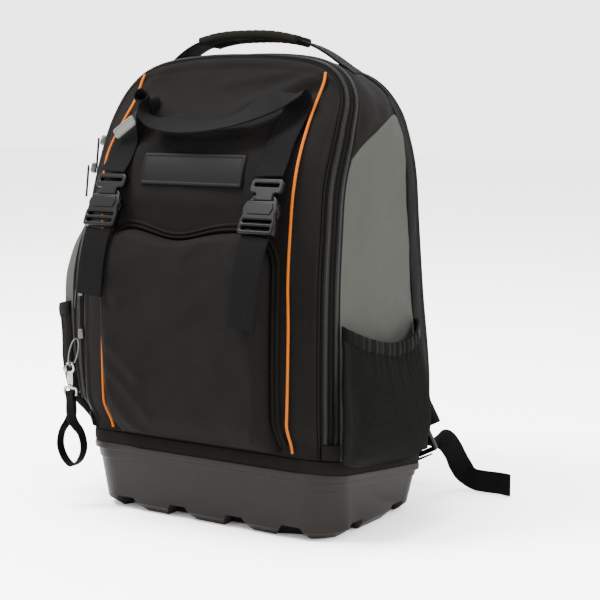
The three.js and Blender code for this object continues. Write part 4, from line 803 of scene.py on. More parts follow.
def zips():
    zip_end, main_start = ZIP_START + ZIP_WIDTH, ZIP_START + ZIP_SPACING
    main_end = main_start + ZIP_WIDTH
    for name, start, end, rise, node in (
            ("edge_binding", 0, ZIP_START - 2 * GAP, 0.9, "edge_strip"),
            ("gusset_strip", zip_end + 2 * GAP, main_start - 2 * GAP, 1.2, "front_gusset")):
        arch_strip(name, start, end, lambda t: rise * np.sin(np.pi * np.clip(t, 0, 1)) ** 0.6,
                   np.linspace(0, 1, 7), "binding_cloth", node)
    tape = [0, 0.06, 0.16, 0.2, 0.3, 0.36, 0.42, 0.5, 0.58, 0.64, 0.7, 0.8, 0.84, 0.94, 1]
    for name, start, end, node in (("front", ZIP_START, zip_end, "zip_front"),
                                   ("main", main_start, main_end, "zip_main")):
        def lifts(t):
            return (ridge(t, 0.5, 0.2, COIL_RISE - 0.75)
                    + np.where((t < 0.19) | (t > 0.81), 0.75, 0.0))
        arch_strip(f"zip_tape_{name}", start, end, lifts, tape, "zip_tape", node)
        middle = (start + end) / 2
        u = np.linspace(-0.985, 0.985, int(FRONT_LENGTH / 2.2))
        half = 2.6
        step = 0.9 / (FRONT_LENGTH / 2)
        for side, shift in ((-1, 0.0), (1, 0.5)):
            v = u + shift * (u[1] - u[0])
            a = gusset(v, middle - side * half, COIL_RISE - 0.7)
            b = gusset(v + step * 0.4, middle + side * 0.5, COIL_RISE - 0.1)
            up = unit(gusset(v, middle, 2.0) - gusset(v, middle, 0.0))
            bars(f"coil_{name}_{'near' if side < 0 else 'far'}", a, b, up, 0.66, "coil_nylon_painted_highlight",
                 sides=5)


zips()


side_top = table(SIDE_TOP)


def deep_share(u, g):
    return (edge_at(u, g)[1] + np.maximum(g - EDGE_LENGTH, 0)) / seam_span(u)


def side_top_at(side, g):
    u = np.full(np.shape(g), 0.35)
    for _ in range(6):
        u = side_top(deep_share(side * u, g))
    return u


PANEL_START = ZIP_START + ZIP_SPACING + ZIP_WIDTH + 2 * SEAT


def side_panel(side, name):
    a, b = grid((0, 1, 151), (0, 1, 91))
    u = np.ones_like(a)
    g = np.full_like(a, PANEL_START)
    for _ in range(4):
        g = mix(PANEL_START, gusset_length(side * u) - 0.1, b)
        u = mix(side_top_at(side, g), 1, a)
    run = u * FRONT_LENGTH / 2
    edge = within(a / 0.03, (1 - a) / 0.05, b / 0.04, (1 - b) / 0.04)
    lift = waves(g, run, 85, 11 + side) * 0.8 + waves(g, run, 30, 15 + side) * 0.25
    lift += fold(g, run, (45, 330), (110, 300), 8, 1.3)
    lift += fold(g, run, (60, 365), (150, 330), 9, 1.2)
    hem = 0.9 * np.exp(-((a - 0.012) / 0.012) ** 2)
    uv = (g, run)
    sheet_piece(f"side_cloth_{name}", gusset(side * u, g, lift * edge + hem * (edge >= 0)),
                gusset(side * u, g, -CLOTH), uv, "grey_weave",
                f"side_panel_{name}")


def side_edge(side, name):
    """Black strip that binds the side panel to the padded back, over the panel's rear edge."""
    a, b = grid((0, 1, 161), (0, 1, 15))
    u = mix(0.245, 0.998, a)
    whole = gusset_length(side * u)
    wide = SIDE_EDGE * (1 - 0.25 * (1 - a) ** 2)
    g = whole - 0.2 - wide * (1 - b)
    run = u * FRONT_LENGTH / 2
    puff = 1.6 * np.sqrt(np.clip(1 - (2 * b - 1) ** 2, 0, 1)) + 0.35 * waves(g, run, 40, 71)
    uv = (g, run)
    sheet_piece(f"side_edge_{name}", gusset(side * u, g, 0.6 + puff),
                gusset(side * u, g, -0.8), uv, "black_cloth")


def top_gusset():
    a, b = grid((-1, 1, 201), (0, 1, 61))
    slit = 0.0012
    u = np.zeros_like(a)
    g = np.full_like(a, PANEL_START)
    sign = np.where(a < 0, -1, 1)
    for _ in range(4):
        g = mix(PANEL_START, gusset_length(u) - 0.1, b)
        u = a * (side_top_at(sign, g) - slit)
    run = u * FRONT_LENGTH / 2
    edge = within((1 - np.abs(a)) / 0.05, b / 0.05, (1 - b) / 0.05)
    lift = (waves(g, run, 70, 21) * 1.2 + waves(g, run, 28, 22) * 0.45) * edge
    sheet_piece("top_cloth", gusset(u, g, lift), gusset(u, g, -CLOTH), (g, run),
                "black_cloth", "top_gusset")


for side, name in SIDES:
    side_panel(side, name)
    side_edge(side, name)
top_gusset()


def zip_end(side, name):
    """Cloth patch over the foot of both zips."""
    high, low = 0.96, 1.0
    t, g = grid((0, 1, 9), (ZIP_START + 1, ZIP_START + ZIP_SPACING + ZIP_WIDTH - 1, 31))
    lift = COIL_RISE + SEAT
    w = mix(0.1, 0.9, t)[..., None]

    def place(out):
        return mix(gusset(side * high, g, out), gusset(side * low, g, out), w)
    puff = 1.4 + 0.5 * np.sin(np.pi * t)
    uv = (g, t * 18)
    sheet_piece(f"zip_foot_{name}", place(lift + puff), place(lift), uv, "black_cloth",
                f"zip_end_{name}")


def piping(side, name):
    piping_at = table(PIPING_ROWS, 2 if side < 0 else 1)
    first, last = PIPING_ROWS[0][0], PIPING_ROWS[-1][0]
    t = np.linspace(0, 1, 260)
    up = mix(first, last, t ** 1.5)
    x, z = side * piping_at(up) * PIPING_OUT, mix(FRONT_FOOT, ARCH_TOP, up)
    centres = front(x, z, PIPING_RADIUS + SEAT)
    tube_piece(f"piping_cord_{name}", centres, PIPING_RADIUS * 0.8, "orange_cord",
               f"piping_{name}", 14)


for side, name in SIDES:
    zip_end(side, name)
    piping(side, name)


# ------------------------------------------------------------------ front pocket and label
def rounded_place(s, v, half, low, high, corner):
    x, z = s * half, mix(low, high, v)
    cx = np.clip((np.abs(x) - (half - corner)) / corner, 0, 1)
    cz = np.clip((z - (high - corner)) / corner, 0, 1)
    both = (cx > 0) & (cz > 0)
    px, pz = cx * np.sqrt(1 - cz * cz / 2), cz * np.sqrt(1 - cx * cx / 2)
    return (np.where(both, np.sign(s) * (half - corner + px * corner), x),
            np.where(both, high - corner + pz * corner, z))


POCKET_LOW = FRONT_FOOT + POCKET_GAP
pocket_swell = table(POCKET_ROWS)


def pocket_dip(x, z):
    """The mouth's edge sags in its middle."""
    share = np.clip((z - POCKET_DIP_FROM) / (POCKET_TOP - POCKET_DIP_FROM), 0, 1.2)
    return -POCKET_DIP * share ** 2 * np.exp(-((x - POCKET_DIP_AT) / POCKET_DIP_WIDTH) ** 2)


def pocket_lift(s, v):
    in_x = (1 - np.abs(s)) * POCKET_HALF
    in_z = np.minimum(v, 1 - v) * (POCKET_TOP - POCKET_LOW)
    rise = np.minimum(np.minimum(in_x, in_z) / POCKET_EDGE, 1)
    profile = np.sqrt(1 - (1 - rise) ** 2)
    return SEAT + POCKET_WALL + (POCKET_DEPTH * pocket_swell(v) - POCKET_WALL) * profile


def front_pocket():
    ease = np.linspace(-1, 1, 151)
    ease = np.sin(ease * math.pi / 2) * 0.5 + ease * 0.5
    up = np.linspace(0, 1, 151)
    up = (1 - np.cos(up * math.pi)) / 2 * 0.5 + up * 0.5
    s, v = np.meshgrid(ease, up, indexing="ij")
    x, z = rounded_place(s, v, POCKET_HALF, POCKET_LOW, POCKET_TOP, POCKET_CORNER)
    edge = within((1 - np.abs(s)) / 0.14, v / 0.08, (1 - v) / 0.08)
    rumple = waves(x, z, 95, 31) * 1.1 + waves(x, z, 36, 32) * 0.4 + folds(
        x, z, ((-98, 205), (-40, 150), 8, 2.6), ((-98, 172), (-34, 118), 7, 2.4),
        ((-94, 140), (-50, 100), 6, 1.8), ((96, 122), (50, 98), 5, 2.6),
        ((92, 106), (34, 92), 4, -1.8), ((-100, 262), (-62, 232), 6, 1.8),
        ((60, 300), (92, 262), 7, 2.0), ((-20, 300), (20, 286), 9, 1.2))
    lift = pocket_lift(s, v)
    z2 = z + pocket_dip(x, z)
    outer = front(x, z2, lift + rumple * edge * edge)
    inner = front(x, z2, lift - POCKET_WALL)
    sheet_piece("pocket_cloth", outer, inner, (x, z), "panel_cloth",
                "front_pocket")


front_pocket()


def pocket_path(t, out):
    """The line of the pocket's zip, out from its inner edge."""
    half = POCKET_HALF + 2 * SEAT + out
    top, corner = POCKET_TOP + 2 * SEAT + out, POCKET_CORNER + out
    low = mix(POCKET_LOW, POCKET_TOP, 0.04)
    side, bend = top - corner - low, corner * math.pi / 2
    across = 2 * (half - corner)
    s = t * (2 * (side + bend) + across)
    a1, a2 = (s - side) / corner, (s - side - bend - across) / corner
    x = np.select(
        [s < side, s < side + bend, s < side + bend + across, s < side + 2 * bend + across],
        [-half, -half + corner * (1 - np.cos(a1)), -half + corner + s - side - bend,
         half - corner * (1 - np.sin(a2))], half)
    z = np.select(
        [s < side, s < side + bend, s < side + bend + across, s < side + 2 * bend + across],
        [low + s, top - corner + corner * np.sin(a1), top, top - corner * (1 - np.cos(a2))],
        top - corner - (s - side - 2 * bend - across))
    return x, z + pocket_dip(x, z), s


def pocket_zip():
    t, w = grid((0, 1, 360), (0, 1, 25))
    x, z, run = pocket_path(t, w * POCKET_ZIP)
    rolls = (ridge(w, 0.24, 0.25, POCKET_ZIP_RISE + 0.2) + ridge(w, 0.76, 0.25,
                                                                 POCKET_ZIP_RISE - 0.1))
    uneven = waves(run, w * 9, 46, 41) * 0.35
    lift = SEAT + np.maximum(rolls, 0.6) + uneven * np.sin(np.pi * w)
    sheet_piece("pocket_lip", front(x, z, lift), front(x, z, SEAT), (w * 9, run),
                "binding_cloth", "pocket_zip", smooth=70)


pocket_zip()


def label_plate():
    s, v = grid((-1, 1, 111), (-1, 1, 51))
    corner = 3.0
    x, zz = s * LABEL_WIDTH / 2, v * LABEL_HEIGHT / 2
    cx = np.clip((np.abs(x) - LABEL_WIDTH / 2 + corner) / corner, 0, 1)
    cz = np.clip((np.abs(zz) - LABEL_HEIGHT / 2 + corner) / corner, 0, 1)
    x = np.where(cx * cz > 0, np.sign(s) * (LABEL_WIDTH / 2 - corner
                 + corner * cx * np.sqrt(1 - cz * cz / 2)), x)
    zz = np.where(cx * cz > 0, np.sign(v) * (LABEL_HEIGHT / 2 - corner
                  + corner * cz * np.sqrt(1 - cx * cx / 2)), zz)
    inset = np.minimum(LABEL_WIDTH / 2 - np.abs(x), LABEL_HEIGHT / 2 - np.abs(zz))
    rim = np.clip((inset) / 0.8, 0, 1) * np.clip((LABEL_BORDER - inset) / 0.6, 0, 1)
    lines = 0.12 * np.sin((x + zz) * 2 * math.pi / 3.2) * np.clip((inset - 5) / 1.5, 0, 1)
    lift = SEAT + LABEL_THICK - 0.9 + 0.9 * rim + lines - 0.5 * (inset < 0.25)
    z = LABEL_LOW + LABEL_HEIGHT / 2 + zz
    sheet_piece("label_pad", front(x, z, lift), front(x, z, SEAT), (x, z),
                "black_rubber", "label_plate", smooth=35)


label_plate()


# ------------------------------------------------------------------ straps
def strap_row(out, up, off, across):
    centre = front(out * STRAP_OUT, mix(BUCKLE_TOP, ARCH_TOP, up), off + WEB_THICK / 2)
    return centre, unit(np.array(across, float))


def compression_strap():
    rows = [strap_row(*row) for row in LOOP_ROWS]
    centres, across = ribbon_path([r[0] for r in rows], [r[1] for r in rows], 340)
    strap_piece("long_strap", centres, across, WEB_WIDTH, WEB_THICK, "webbing",
                "compression_strap")


def buckle_top(side):
    return front(side * STRAP_OUT, BUCKLE_TOP, BUCKLE_OFF)


def strap_tail(side, name, length):
    tilt = math.radians(BUCKLE_TILT)
    top = buckle_top(side)
    foot = np.array([top[0], top[1] - BUCKLE_LENGTH * math.sin(tilt),
                     top[2] - BUCKLE_LENGTH * math.cos(tilt) - GAP * 6])
    rows = [foot + np.array([-d * length * 0.08, -o * length, -d * length])
            for d, o in ((0, 0), (.12, .06), (.5, .15), (1, .18))]
    centres, across = ribbon_path(rows, [(1, 0, 0)] * 4, 90)

    strap_piece(f"tail_{name}", centres, across, WEB_WIDTH, WEB_THICK, "webbing",
                f"strap_tail_{name}", hemmed(14))


compression_strap()
for side, name, length in ((-1, "left", LEFT_TAIL), (1, "right", RIGHT_TAIL)):
    strap_tail(side, name, length)


# ------------------------------------------------------------------ plates with soft edges
def mirrored(half):
    """An outline from its right half."""
    return half + [(-x, y) for x, y in half[::-1]]


def solid_plate(name, outline, thick, place, material, replaces=None, holes=(), bevel=0.8):
    """Plate from an outline in its own plane, its edges rounded; place puts it in the frame."""
    curve = bpy.data.curves.new(name, "CURVE")
    curve.dimensions = "2D"
    curve.fill_mode = "BOTH"
    for loop in [outline, *holes]:
        line = curve.splines.new("POLY")
        line.points.add(len(loop) - 1)
        for point, (x, y) in zip(line.points, loop):
            point.co = (x, y, 0, 1)
        line.use_cyclic_u = True
    curve.extrude = thick / 2 - bevel
    curve.bevel_depth = bevel
    curve.bevel_resolution = 3
    curve.offset = -bevel
    holder = bpy.data.objects.new(name, curve)
    bpy.context.scene.collection.objects.link(holder)
    graph = bpy.context.evaluated_depsgraph_get()
    flat = bpy.data.meshes.new_from_object(holder.evaluated_get(graph))
    bpy.data.objects.remove(holder)
    verts = np.array([v.co for v in flat.vertices], float)
    faces = [list(p.vertices) for p in flat.polygons]
    uv = verts[:, :2].copy()
    bpy.data.meshes.remove(flat)
    return new_object(name, place(verts), faces, uv, material, "bag", 35, replaces)


def rounded_rect(width, height, corner, y=0.0, per=5):
    points = []
    w, h = width / 2 - corner, height / 2 - corner
    for cx, cy, start in ((w, h, 0), (-w, h, 90), (-w, -h, 180), (w, -h, 270)):
        for k in range(per + 1):
            a = math.radians(start + 90 * k / per)
            points.append((cx + corner * math.cos(a), y + cy + corner * math.sin(a)))
    return points


def buckle_place(side, out=0.0):
    tilt = math.radians(BUCKLE_TILT)
    top = buckle_top(side)
    hang = BUCKLE_LENGTH / 2

    def place(v):
        x, y, n = v[:, 0], v[:, 1], v[:, 2] + out
        py, pz = -n, y
        c, s = math.cos(-tilt), math.sin(-tilt)
        return np.stack([x + top[0], py * c - pz * s + top[1] - hang * math.sin(tilt),
                         py * s + pz * c + top[2] - hang * math.cos(tilt)], -1)
    return place


def buckle(side, name):
    """Side-release buckle: the clip's frame and arms, and the housing they snap into."""
    length, width, thick = BUCKLE_LENGTH, BUCKLE_WIDTH, BUCKLE_THICK
    top = length / 2
    frame_half = (WEB_WIDTH + 5) / 2
    low = top - length * 0.26
    neck = width * 0.25
    clip = mirrored([(neck, low - length * 0.14), (neck, low - 1), (neck + 1.5, low),
                     (frame_half - 2.5, low), (frame_half, low + 2.5), (frame_half, top - 3),
                     (frame_half - 3, top)])
    hole = rounded_rect(WEB_WIDTH - 4, 3.6, 1.2, top - length * 0.26 * 0.45)
    solid_plate(f"clip_{name}", clip, thick * 0.7, buckle_place(side), "buckle_plastic",
                f"buckle_clip_{name}", [hole], 1.2)
    high, base, wide, waist = length * 0.1 - GAP, -length / 2, width / 2, width * 0.4
    housing = mirrored([(wide - 3, base), (wide - 0.8, base + 0.8), (wide, base + 3),
                        (wide, base + 15), (wide - 1.2, base + 18), (wide - 1.2, high - 13),
                        (wide, high - 9), (wide - 0.6, high - 6), (waist + 1, high - 1),
                        (waist, high)])
    holes = [rounded_rect(WEB_WIDTH + 1, 3.6, 1.2, base + 6),
             rounded_rect(WEB_WIDTH + 1, 3.2, 1.2, base + 13)]
    solid_plate(f"housing_{name}", housing, thick, buckle_place(side), "buckle_plastic",
                f"buckle_housing_{name}", holes, 1.6)
    # Raised middle field and the two release arms that show at its sides
    field = [(waist - 3, high - 3), (-waist + 3, high - 3), (-waist + 1, high - 8),
             (-waist + 3.5, base + 20), (waist - 3.5, base + 20), (waist - 1, high - 8)]
    solid_plate(f"field_{name}", field[::-1], 1.6, buckle_place(side, thick / 2 + 0.1),
                "buckle_plastic", None, (), 0.5)
    for hand in (-1, 1):
        arm = [(hand * (wide - 4.4), high - 18), (hand * (wide + 0.2), high - 17),
               (hand * (wide + 0.6), high - 11), (hand * (wide - 1.4), high - 3),
               (hand * (waist - 2), high + 3), (hand * (neck + 0.5), low - 2),
               (hand * (neck + 0.5), low - 7), (hand * (wide - 6), high - 6)]
        solid_plate(f"arm_{name}_{'a' if hand < 0 else 'b'}", arm[::hand], thick * 0.42,
                    buckle_place(side), "buckle_plastic", None, (), 0.7)


for side, name in SIDES:
    buckle(side, name)


# ------------------------------------------------------------------ pull tag, sliders, pulls
def matrix_place(origin, x_dir, y_dir, z_dir):
    basis = np.stack([x_dir, y_dir, z_dir])
    return lambda v: v @ basis + origin


def node_box(node):
    low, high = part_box(node)
    return np.array(low) / MM, np.array(high) / MM


def pull_tag():
    low, high = node_box("pull_tag")
    middle = (low + high) / 2
    turn = math.radians(TAG_TURN)
    x_dir = np.array([math.cos(turn), 0, math.sin(turn)])
    y_dir = np.array([-math.sin(turn), 0, math.cos(turn)])
    z_dir = np.array([0, -1.0, 0])
    place = matrix_place(middle, x_dir, y_dir, z_dir)
    solid_plate("tag_pad", rounded_rect(TAG_LENGTH, TAG_WIDTH, 2.5), TAG_THICK, place,
                "grey_rubber", "pull_tag", (), 0.7)
    solid_plate("tag_rim", rounded_rect(TAG_LENGTH - 2, TAG_WIDTH - 2, 1.8), 0.8,
                matrix_place(middle + z_dir * 1.2, x_dir, y_dir, z_dir), "grey_rubber",
                None, [rounded_rect(25.6, 6.6, 1.2)], 0.25)


pull_tag()


def dressed_copy(node, name, material, bevel=0.5, body="bag", segments=2):
    """The node's own shape with its hard edges rounded."""
    source = nodes[node]
    mesh = source.data.copy()
    obj = bpy.data.objects.new(name, mesh)
    bpy.context.scene.collection.objects.link(obj)
    mesh.materials.clear()
    mesh.materials.append(materials[material])
    weld = obj.modifiers.new("weld", "WELD")
    weld.merge_threshold = 1e-5
    flat = obj.modifiers.new("flat", "DECIMATE")
    flat.decimate_type = "DISSOLVE"
    flat.angle_limit = math.radians(1.0)
    soften(obj, bevel, segments, 28)
    made = applied(obj)
    made.name = name
    shade_smooth(made, 38)
    if not made.uv_layers.get("cloth"):
        for layer in list(made.uv_layers):
            made.uv_layers.remove(layer)
        layer = made.uv_layers.new(name="cloth")
        for poly in made.polygons:
            n = poly.normal
            k = max(range(3), key=lambda i: abs(n[i]))
            i, j = [(1, 2), (0, 2), (0, 1)][k]
            for loop in poly.loop_indices:
                co = made.vertices[made.loops[loop].vertex_index].co
                layer.data[loop].uv = (co[i], co[j])
    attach(obj, body)
    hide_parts(node)


for name in ("one", "two", "three", "four"):
    dressed_copy(f"slider_{name}", f"runner_{name}", "dark_metal", 1.1)
for name in ("one", "two", "three"):
    dressed_copy(f"pull_{name}", f"puller_{name}", "black_rubber", 0.5)
dressed_copy("hook_body", "claw", "bright_metal", 0.8, segments=3)
dressed_copy("hook_gate", "claw_gate", "bright_metal", 0.4, body="gate")
dressed_copy("hook_eye", "swivel_eye", "bright_metal", 0.6, body="eye")
for name in ("left", "right"):
    dressed_copy(f"ladder_lock_{name}", f"strap_lock_{name}", "buckle_plastic",
                 1.0)


# ------------------------------------------------------------------ handle
def top_point(x, y):
    x = np.asarray(x, float)
    g = np.full(x.shape, float(PANEL_START))
    u = np.zeros(x.shape)
    for _ in range(8):
        low, high = np.full(x.shape, -0.6), np.full(x.shape, 0.6)
        for _ in range(24):
            u = (low + high) / 2
            below = gusset_point(u, g)[..., 0] < x
            low, high = np.where(below, u, low), np.where(below, high, u)
        g = g + (y - gusset_point(u, g)[..., 1])
    return gusset_point(u, g)


handle_lift = table(HANDLE_ROWS)
lean_n = gusset(0.0, PANEL_START + 20, 1.0) - gusset(0.0, PANEL_START + 20, 0.0)


def handle_rows(shares):
    shares = np.asarray(shares, float)
    p = top_point(shares * HANDLE_SPAN / 2, HANDLE_AT)
    p[:, 2] += handle_lift(np.abs(shares)) * (HANDLE_TOP - ARCH_TOP) / 27
    p[:, 1] -= HANDLE_LEAN * (1 - shares * shares)
    across = np.broadcast_to([0, lean_n[2], -lean_n[1]], p.shape)
    return p, across


def handle():
    grip = GRIP_LENGTH / HANDLE_SPAN
    for side, name in SIDES:
        shares = [1, .95, .9, .85, .8, .74, .68, .6, grip + SEAT / HANDLE_SPAN * 2.6]
        p, across = handle_rows([side * s for s in shares])
        centres, lean = ribbon_path(p, across, 120)
        strap_piece(f"handle_strap_{name}", centres, lean, HANDLE_WIDTH, WEB_THICK + 0.6,
                    "webbing", f"handle_web_{name}")
    p, across = handle_rows(np.linspace(-grip, grip, 9))
    centres, lean = ribbon_path(p, across, 150)
    t = np.linspace(-1, 1, 150)

    def puff(o):
        """The grip's cloth is turned round the handle, sewn along its middle and puckered."""
        flare = 1 + 0.05 * np.exp(-((np.abs(t) - 1) / 0.06) ** 2)
        pucker = 1 + 0.035 * np.sin(t * 41) + 0.02 * np.sin(t * 83 + 1)
        seam = np.exp(-(o[..., 0] / 2.2) ** 2) * 0.9
        o[..., 0] *= flare[:, None]
        o[..., 1] *= pucker[:, None]
        o[..., 1] -= np.sign(o[..., 1]) * seam * (np.abs(o[..., 1]) > 2)
        return o
    sleeve = strap_piece("grip_sleeve", centres, lean, GRIP_WIDTH, GRIP_THICK, "binding_cloth",
                         "handle_grip", shape=puff, bevel=3.6)


handle()


# ------------------------------------------------------------------ netting pockets
mouth_at, net_swell = table(MOUTH_ROWS), table(MESH_ROWS)


def net_point(side, b, h, lift=0.0, extra=0.0):
    b, h = np.broadcast_arrays(np.asarray(b, float), np.asarray(h, float))
    u = mix(mouth_at(b) - extra, 1, h)
    g = mix(PANEL_START + 1, gusset_length(side * u) - MESH_REAR, b)
    rise = np.minimum(np.minimum(b, 1 - b) / 0.2, 1)
    rounded = np.sqrt(1 - (1 - rise) ** 2)
    low = h ** 4
    share = MESH_SAG if side < 0 else 1
    swell = share * MESH_BULGE * net_swell(h) * rounded + mix(1.5 * SEAT, 1.8, low)
    p = gusset(side * u, g, swell + lift)
    p[..., 2] -= MESH_OVERHANG * low * rounded
    p[..., 1] -= share * MESH_FORWARD * net_swell(h) * rounded * (1 - b) ** 3
    return p


def net_folds(side, b, h):
    """Gathers that fade out below the elastic, and a few soft hollows."""
    gather = np.sin(b * 2 * math.pi * 15 + 1.6 * np.sin(b * 9)) * np.exp(-h / 0.16)
    gather += 0.5 * np.sin(b * 2 * math.pi * 7 + 1 + 2 * h) * np.exp(-h / 0.4)
    return gather * 1.3 * np.sin(np.pi * np.clip(b, 0, 1)) ** 0.5 + waves(b * 150, h * 160, 60,
                                                                        51 + side) * 0.5


def netting(side, name):
    """Open net of crossing strands, with a solid hem round its bottom and sides."""
    cell = 2.7
    width, height = 150.0, 158.0
    cols, rows = int(width / cell), int(height / cell * 1.0)
    i, j = np.meshgrid(np.arange(cols + 1), np.arange(rows + 1), indexing="ij")
    shift = np.where(j % 2 == 1, 0.5, 0.0)
    b = np.clip((i + shift) / (cols + 0.5), 0, 1)
    h = j / rows
    points = net_point(side, b, h, 0.9 + net_folds(side, b, h))
    up = unit(net_point(side, b, h, 1.5) - net_point(side, b, h, 0.0))
    starts, ends, ups = [], [], []
    for di_even, di_odd, dj in ((0, 1, 1), (-1, 0, 1), (1, 1, 0)):
        a_i, a_j = np.meshgrid(np.arange(cols + 1), np.arange(rows + 1 - dj), indexing="ij")
        n_i = a_i + np.where(a_j % 2 == 1, di_odd, di_even)
        ok = (n_i >= 0) & (n_i <= cols)
        a_i, a_j, n_i = a_i[ok], a_j[ok], n_i[ok]
        starts.append(points[a_i, a_j])
        ends.append(points[n_i, a_j + dj])
        ups.append(up[a_i, a_j])
    starts, ends, ups = (np.concatenate(x) for x in (starts, ends, ups))
    # Strands as plain three-sided prisms, all in one mesh
    along = unit(ends - starts)
    sidev = unit(np.cross(along, ups))
    face = np.cross(sidev, along)
    radius = 0.62
    ring = [sidev * math.cos(a) + face * math.sin(a) for a in
            (math.radians(90), math.radians(210), math.radians(330))]
    verts = np.stack([starts + r * radius for r in ring] + [ends + r * radius for r in ring], 1)
    quads = np.array([[0, 1, 4, 3], [1, 2, 5, 4], [2, 0, 3, 5]])
    faces = (quads[None] + (np.arange(len(starts)) * 6)[:, None, None]).reshape(-1, 4)
    flat = verts.reshape(-1, 3)
    caps = np.concatenate([np.array([[0, 2, 1]]), np.array([[3, 4, 5]])])
    if signed(flat[:6], quads.tolist() + caps.tolist()) < 0:
        faces = faces[:, ::-1]
    net = new_object(f"net_{name}", flat, faces, None, "net", "bag", 180,
                     f"mesh_pocket_{name}")
    layer = net.data.uv_layers.new(name="cloth")
    index = np.zeros(len(net.data.loops), int)
    net.data.loops.foreach_get("vertex_index", index)
    layer.data.foreach_set("uv", (flat[index][:, 1:] * MM).astype(np.float32).ravel())
    # Woven border at the sides and bottom
    for part, bs, hs in (("front", (0, 0.05), (0, 1)), ("rear", (0.94, 1), (0, 1)),
                         ("foot", (0.03, 0.97), (0.955, 1))):
        wide = part != "foot"
        hh, bb = grid((*hs, 90 if wide else 5), (*bs, 5 if wide else 90))
        folds = net_folds(side, bb, hh)
        sheet_piece(f"net_border_{part}_{name}", net_point(side, bb, hh, 1.7 + folds),
                    net_point(side, bb, hh, 0.6 + folds), (bb * 150, hh * 158),
                    "binding_cloth")
    # Elastic binding along the mouth, ruffled by its gathers
    length = FRONT_LENGTH / 2
    e, bb = grid((MESH_BAND / length, -1.5 / length, 13), (0, 1, 160))
    ruffle = np.sin(bb * 2 * math.pi * 26 + 2 * np.sin(bb * 11)) * 0.18
    soft = 0.7 * np.sin(np.pi * np.linspace(0, 1, 13))[:, None]
    lift = net_folds(side, bb, np.zeros_like(bb)) * 0.6 + ruffle
    sheet_piece(f"net_elastic_{name}",
                net_point(side, bb, 0.0, MESH_BAND_THICK + lift + soft, e),
                net_point(side, bb, 0.0, np.maximum(lift, -0.6), e),
                (e * length, bb * 150), "elastic",
                f"mesh_band_{name}")


for side, name in SIDES:
    netting(side, name)


# ------------------------------------------------------------------ back, shoulder straps
def back_panel():
    s, v = grid((-1, 1, 97), (0, 1, 111))
    outline = EDGE_LENGTH * edge_cols[0](1.0) - 1
    p = arch_grid(rear_curve, s, v, -outline)
    z = np.maximum(p[..., 2], REAR_FOOT)
    x = p[..., 0]
    edge = within((1 - np.abs(s)) / 0.2, (1 - v) / 0.12, v / 0.05)
    bulk = PAD_THICK - PAD_CROWN * (1 - edge) ** 2
    bulk = bulk - 5 * np.exp(-(x / 9) ** 2) * edge
    for z0 in (165.0, 255.0, 345.0):
        bulk = bulk - 3.5 * np.exp(-((z - z0) / 7) ** 2) * edge
    bulk += waves(x, z, 60, 61) * 0.35 * edge
    pad = sheet_piece("back_pad", vec(x, REAR_REACH + GAP + bulk, z),
                      vec(x, REAR_REACH + GAP, z), (x, z), "black_cloth",
                      "back_panel")


PAD_FACE = REAR_REACH + GAP + PAD_THICK


def strap_place(side, row):
    z = mix(REAR_FOOT, REAR_TOP, row[0])
    return np.array([side * row[1] * REAR_WIDTH / 2,
                     PAD_FACE + GAP + PAD_STRAP_THICK / 2 + row[2], z])


def shoulder_strap(side, name):
    rows = [strap_place(side, r) for r in STRAP_ROWS]
    centres, across = ribbon_path(rows, [(1, 0, -side * 0.1)] * len(rows), 200)
    run = run_along(centres)

    def quilt(o):
        rib = 1 - 0.16 * np.exp(-((np.abs(o[..., 0]) - PAD_STRAP_WIDTH * 0.36) / 2.0) ** 2)
        o[..., 1] *= rib * (1 + 0.03 * np.sin(run / 17)[:, None])
        return o
    obj = strap_piece(f"shoulder_pad_{name}", centres, across, PAD_STRAP_WIDTH,
                      PAD_STRAP_THICK, "black_cloth", f"shoulder_strap_{name}",
                      shape=quilt, bevel=4.5)


def lock_place(side, down):
    end, before = strap_place(side, STRAP_ROWS[-1]), strap_place(side, STRAP_ROWS[-2])
    along = unit(end - before)
    return end + along * down, along


def strap_foot(side, name):
    spot, along = lock_place(side, LOCK_LENGTH * 0.6)
    floor = TAIL_WIDTH / 2 + 1
    rows = [np.array([spot[0] + side * out, spot[1] + LOCK_THICK / 2 + back,
                      mix(floor, spot[2], rise)]) for out, back, rise, _ in TAIL_ROWS]
    lean = [(side * r[3][0], r[3][1], r[3][2]) for r in TAIL_ROWS]
    centres, across = ribbon_path(rows, lean, 260)

    strap_piece(f"strap_webbing_{name}", centres, across, TAIL_WIDTH, TAIL_THICK, "webbing",
                f"strap_end_{name}", hemmed(18))
    spot, along = lock_place(side, LOCK_LENGTH + 4 * SEAT)
    lean = unit(np.cross(along, [0, 1, 0]))
    foot = np.array([side * ANCHOR_OUT, BASE_DEPTH / 2 + ANCHOR_OFF, RIM_BACK - ANCHOR_DROP])
    centres, across = ribbon_path([spot, mix(spot, foot, 0.5), foot], [lean] * 3, 40)
    strap_piece(f"anchor_strap_{name}", centres, across, TAIL_WIDTH, TAIL_THICK, "webbing",
                f"anchor_web_{name}")


back_panel()
for side, name in SIDES:
    shoulder_strap(side, name)
    strap_foot(side, name)


# ------------------------------------------------------------------ moulded base and binding
def plan_ring(inset, corner, height_at, facets=14):
    x, y = BASE_WIDTH / 2 - inset - corner, BASE_DEPTH / 2 - inset - corner
    points = []
    for cx, cy, start in ((x, -y, -90), (x, y, 0), (-x, y, 90), (-x, -y, 180)):
        for k in range(facets + 1):
            a = math.radians(start + 90 * k / facets)
            px, py = cx + corner * math.cos(a), cy + corner * math.sin(a)
            points.append((px, py, height_at(py)))
    return np.array(points)


def plain_mesh(name, verts, faces):
    mesh = bpy.data.meshes.new(name)
    mesh.from_pydata((np.asarray(verts) * MM).tolist(), [], [list(map(int, f)) for f in faces])
    obj = bpy.data.objects.new(name, mesh)
    bpy.context.scene.collection.objects.link(obj)
    return obj


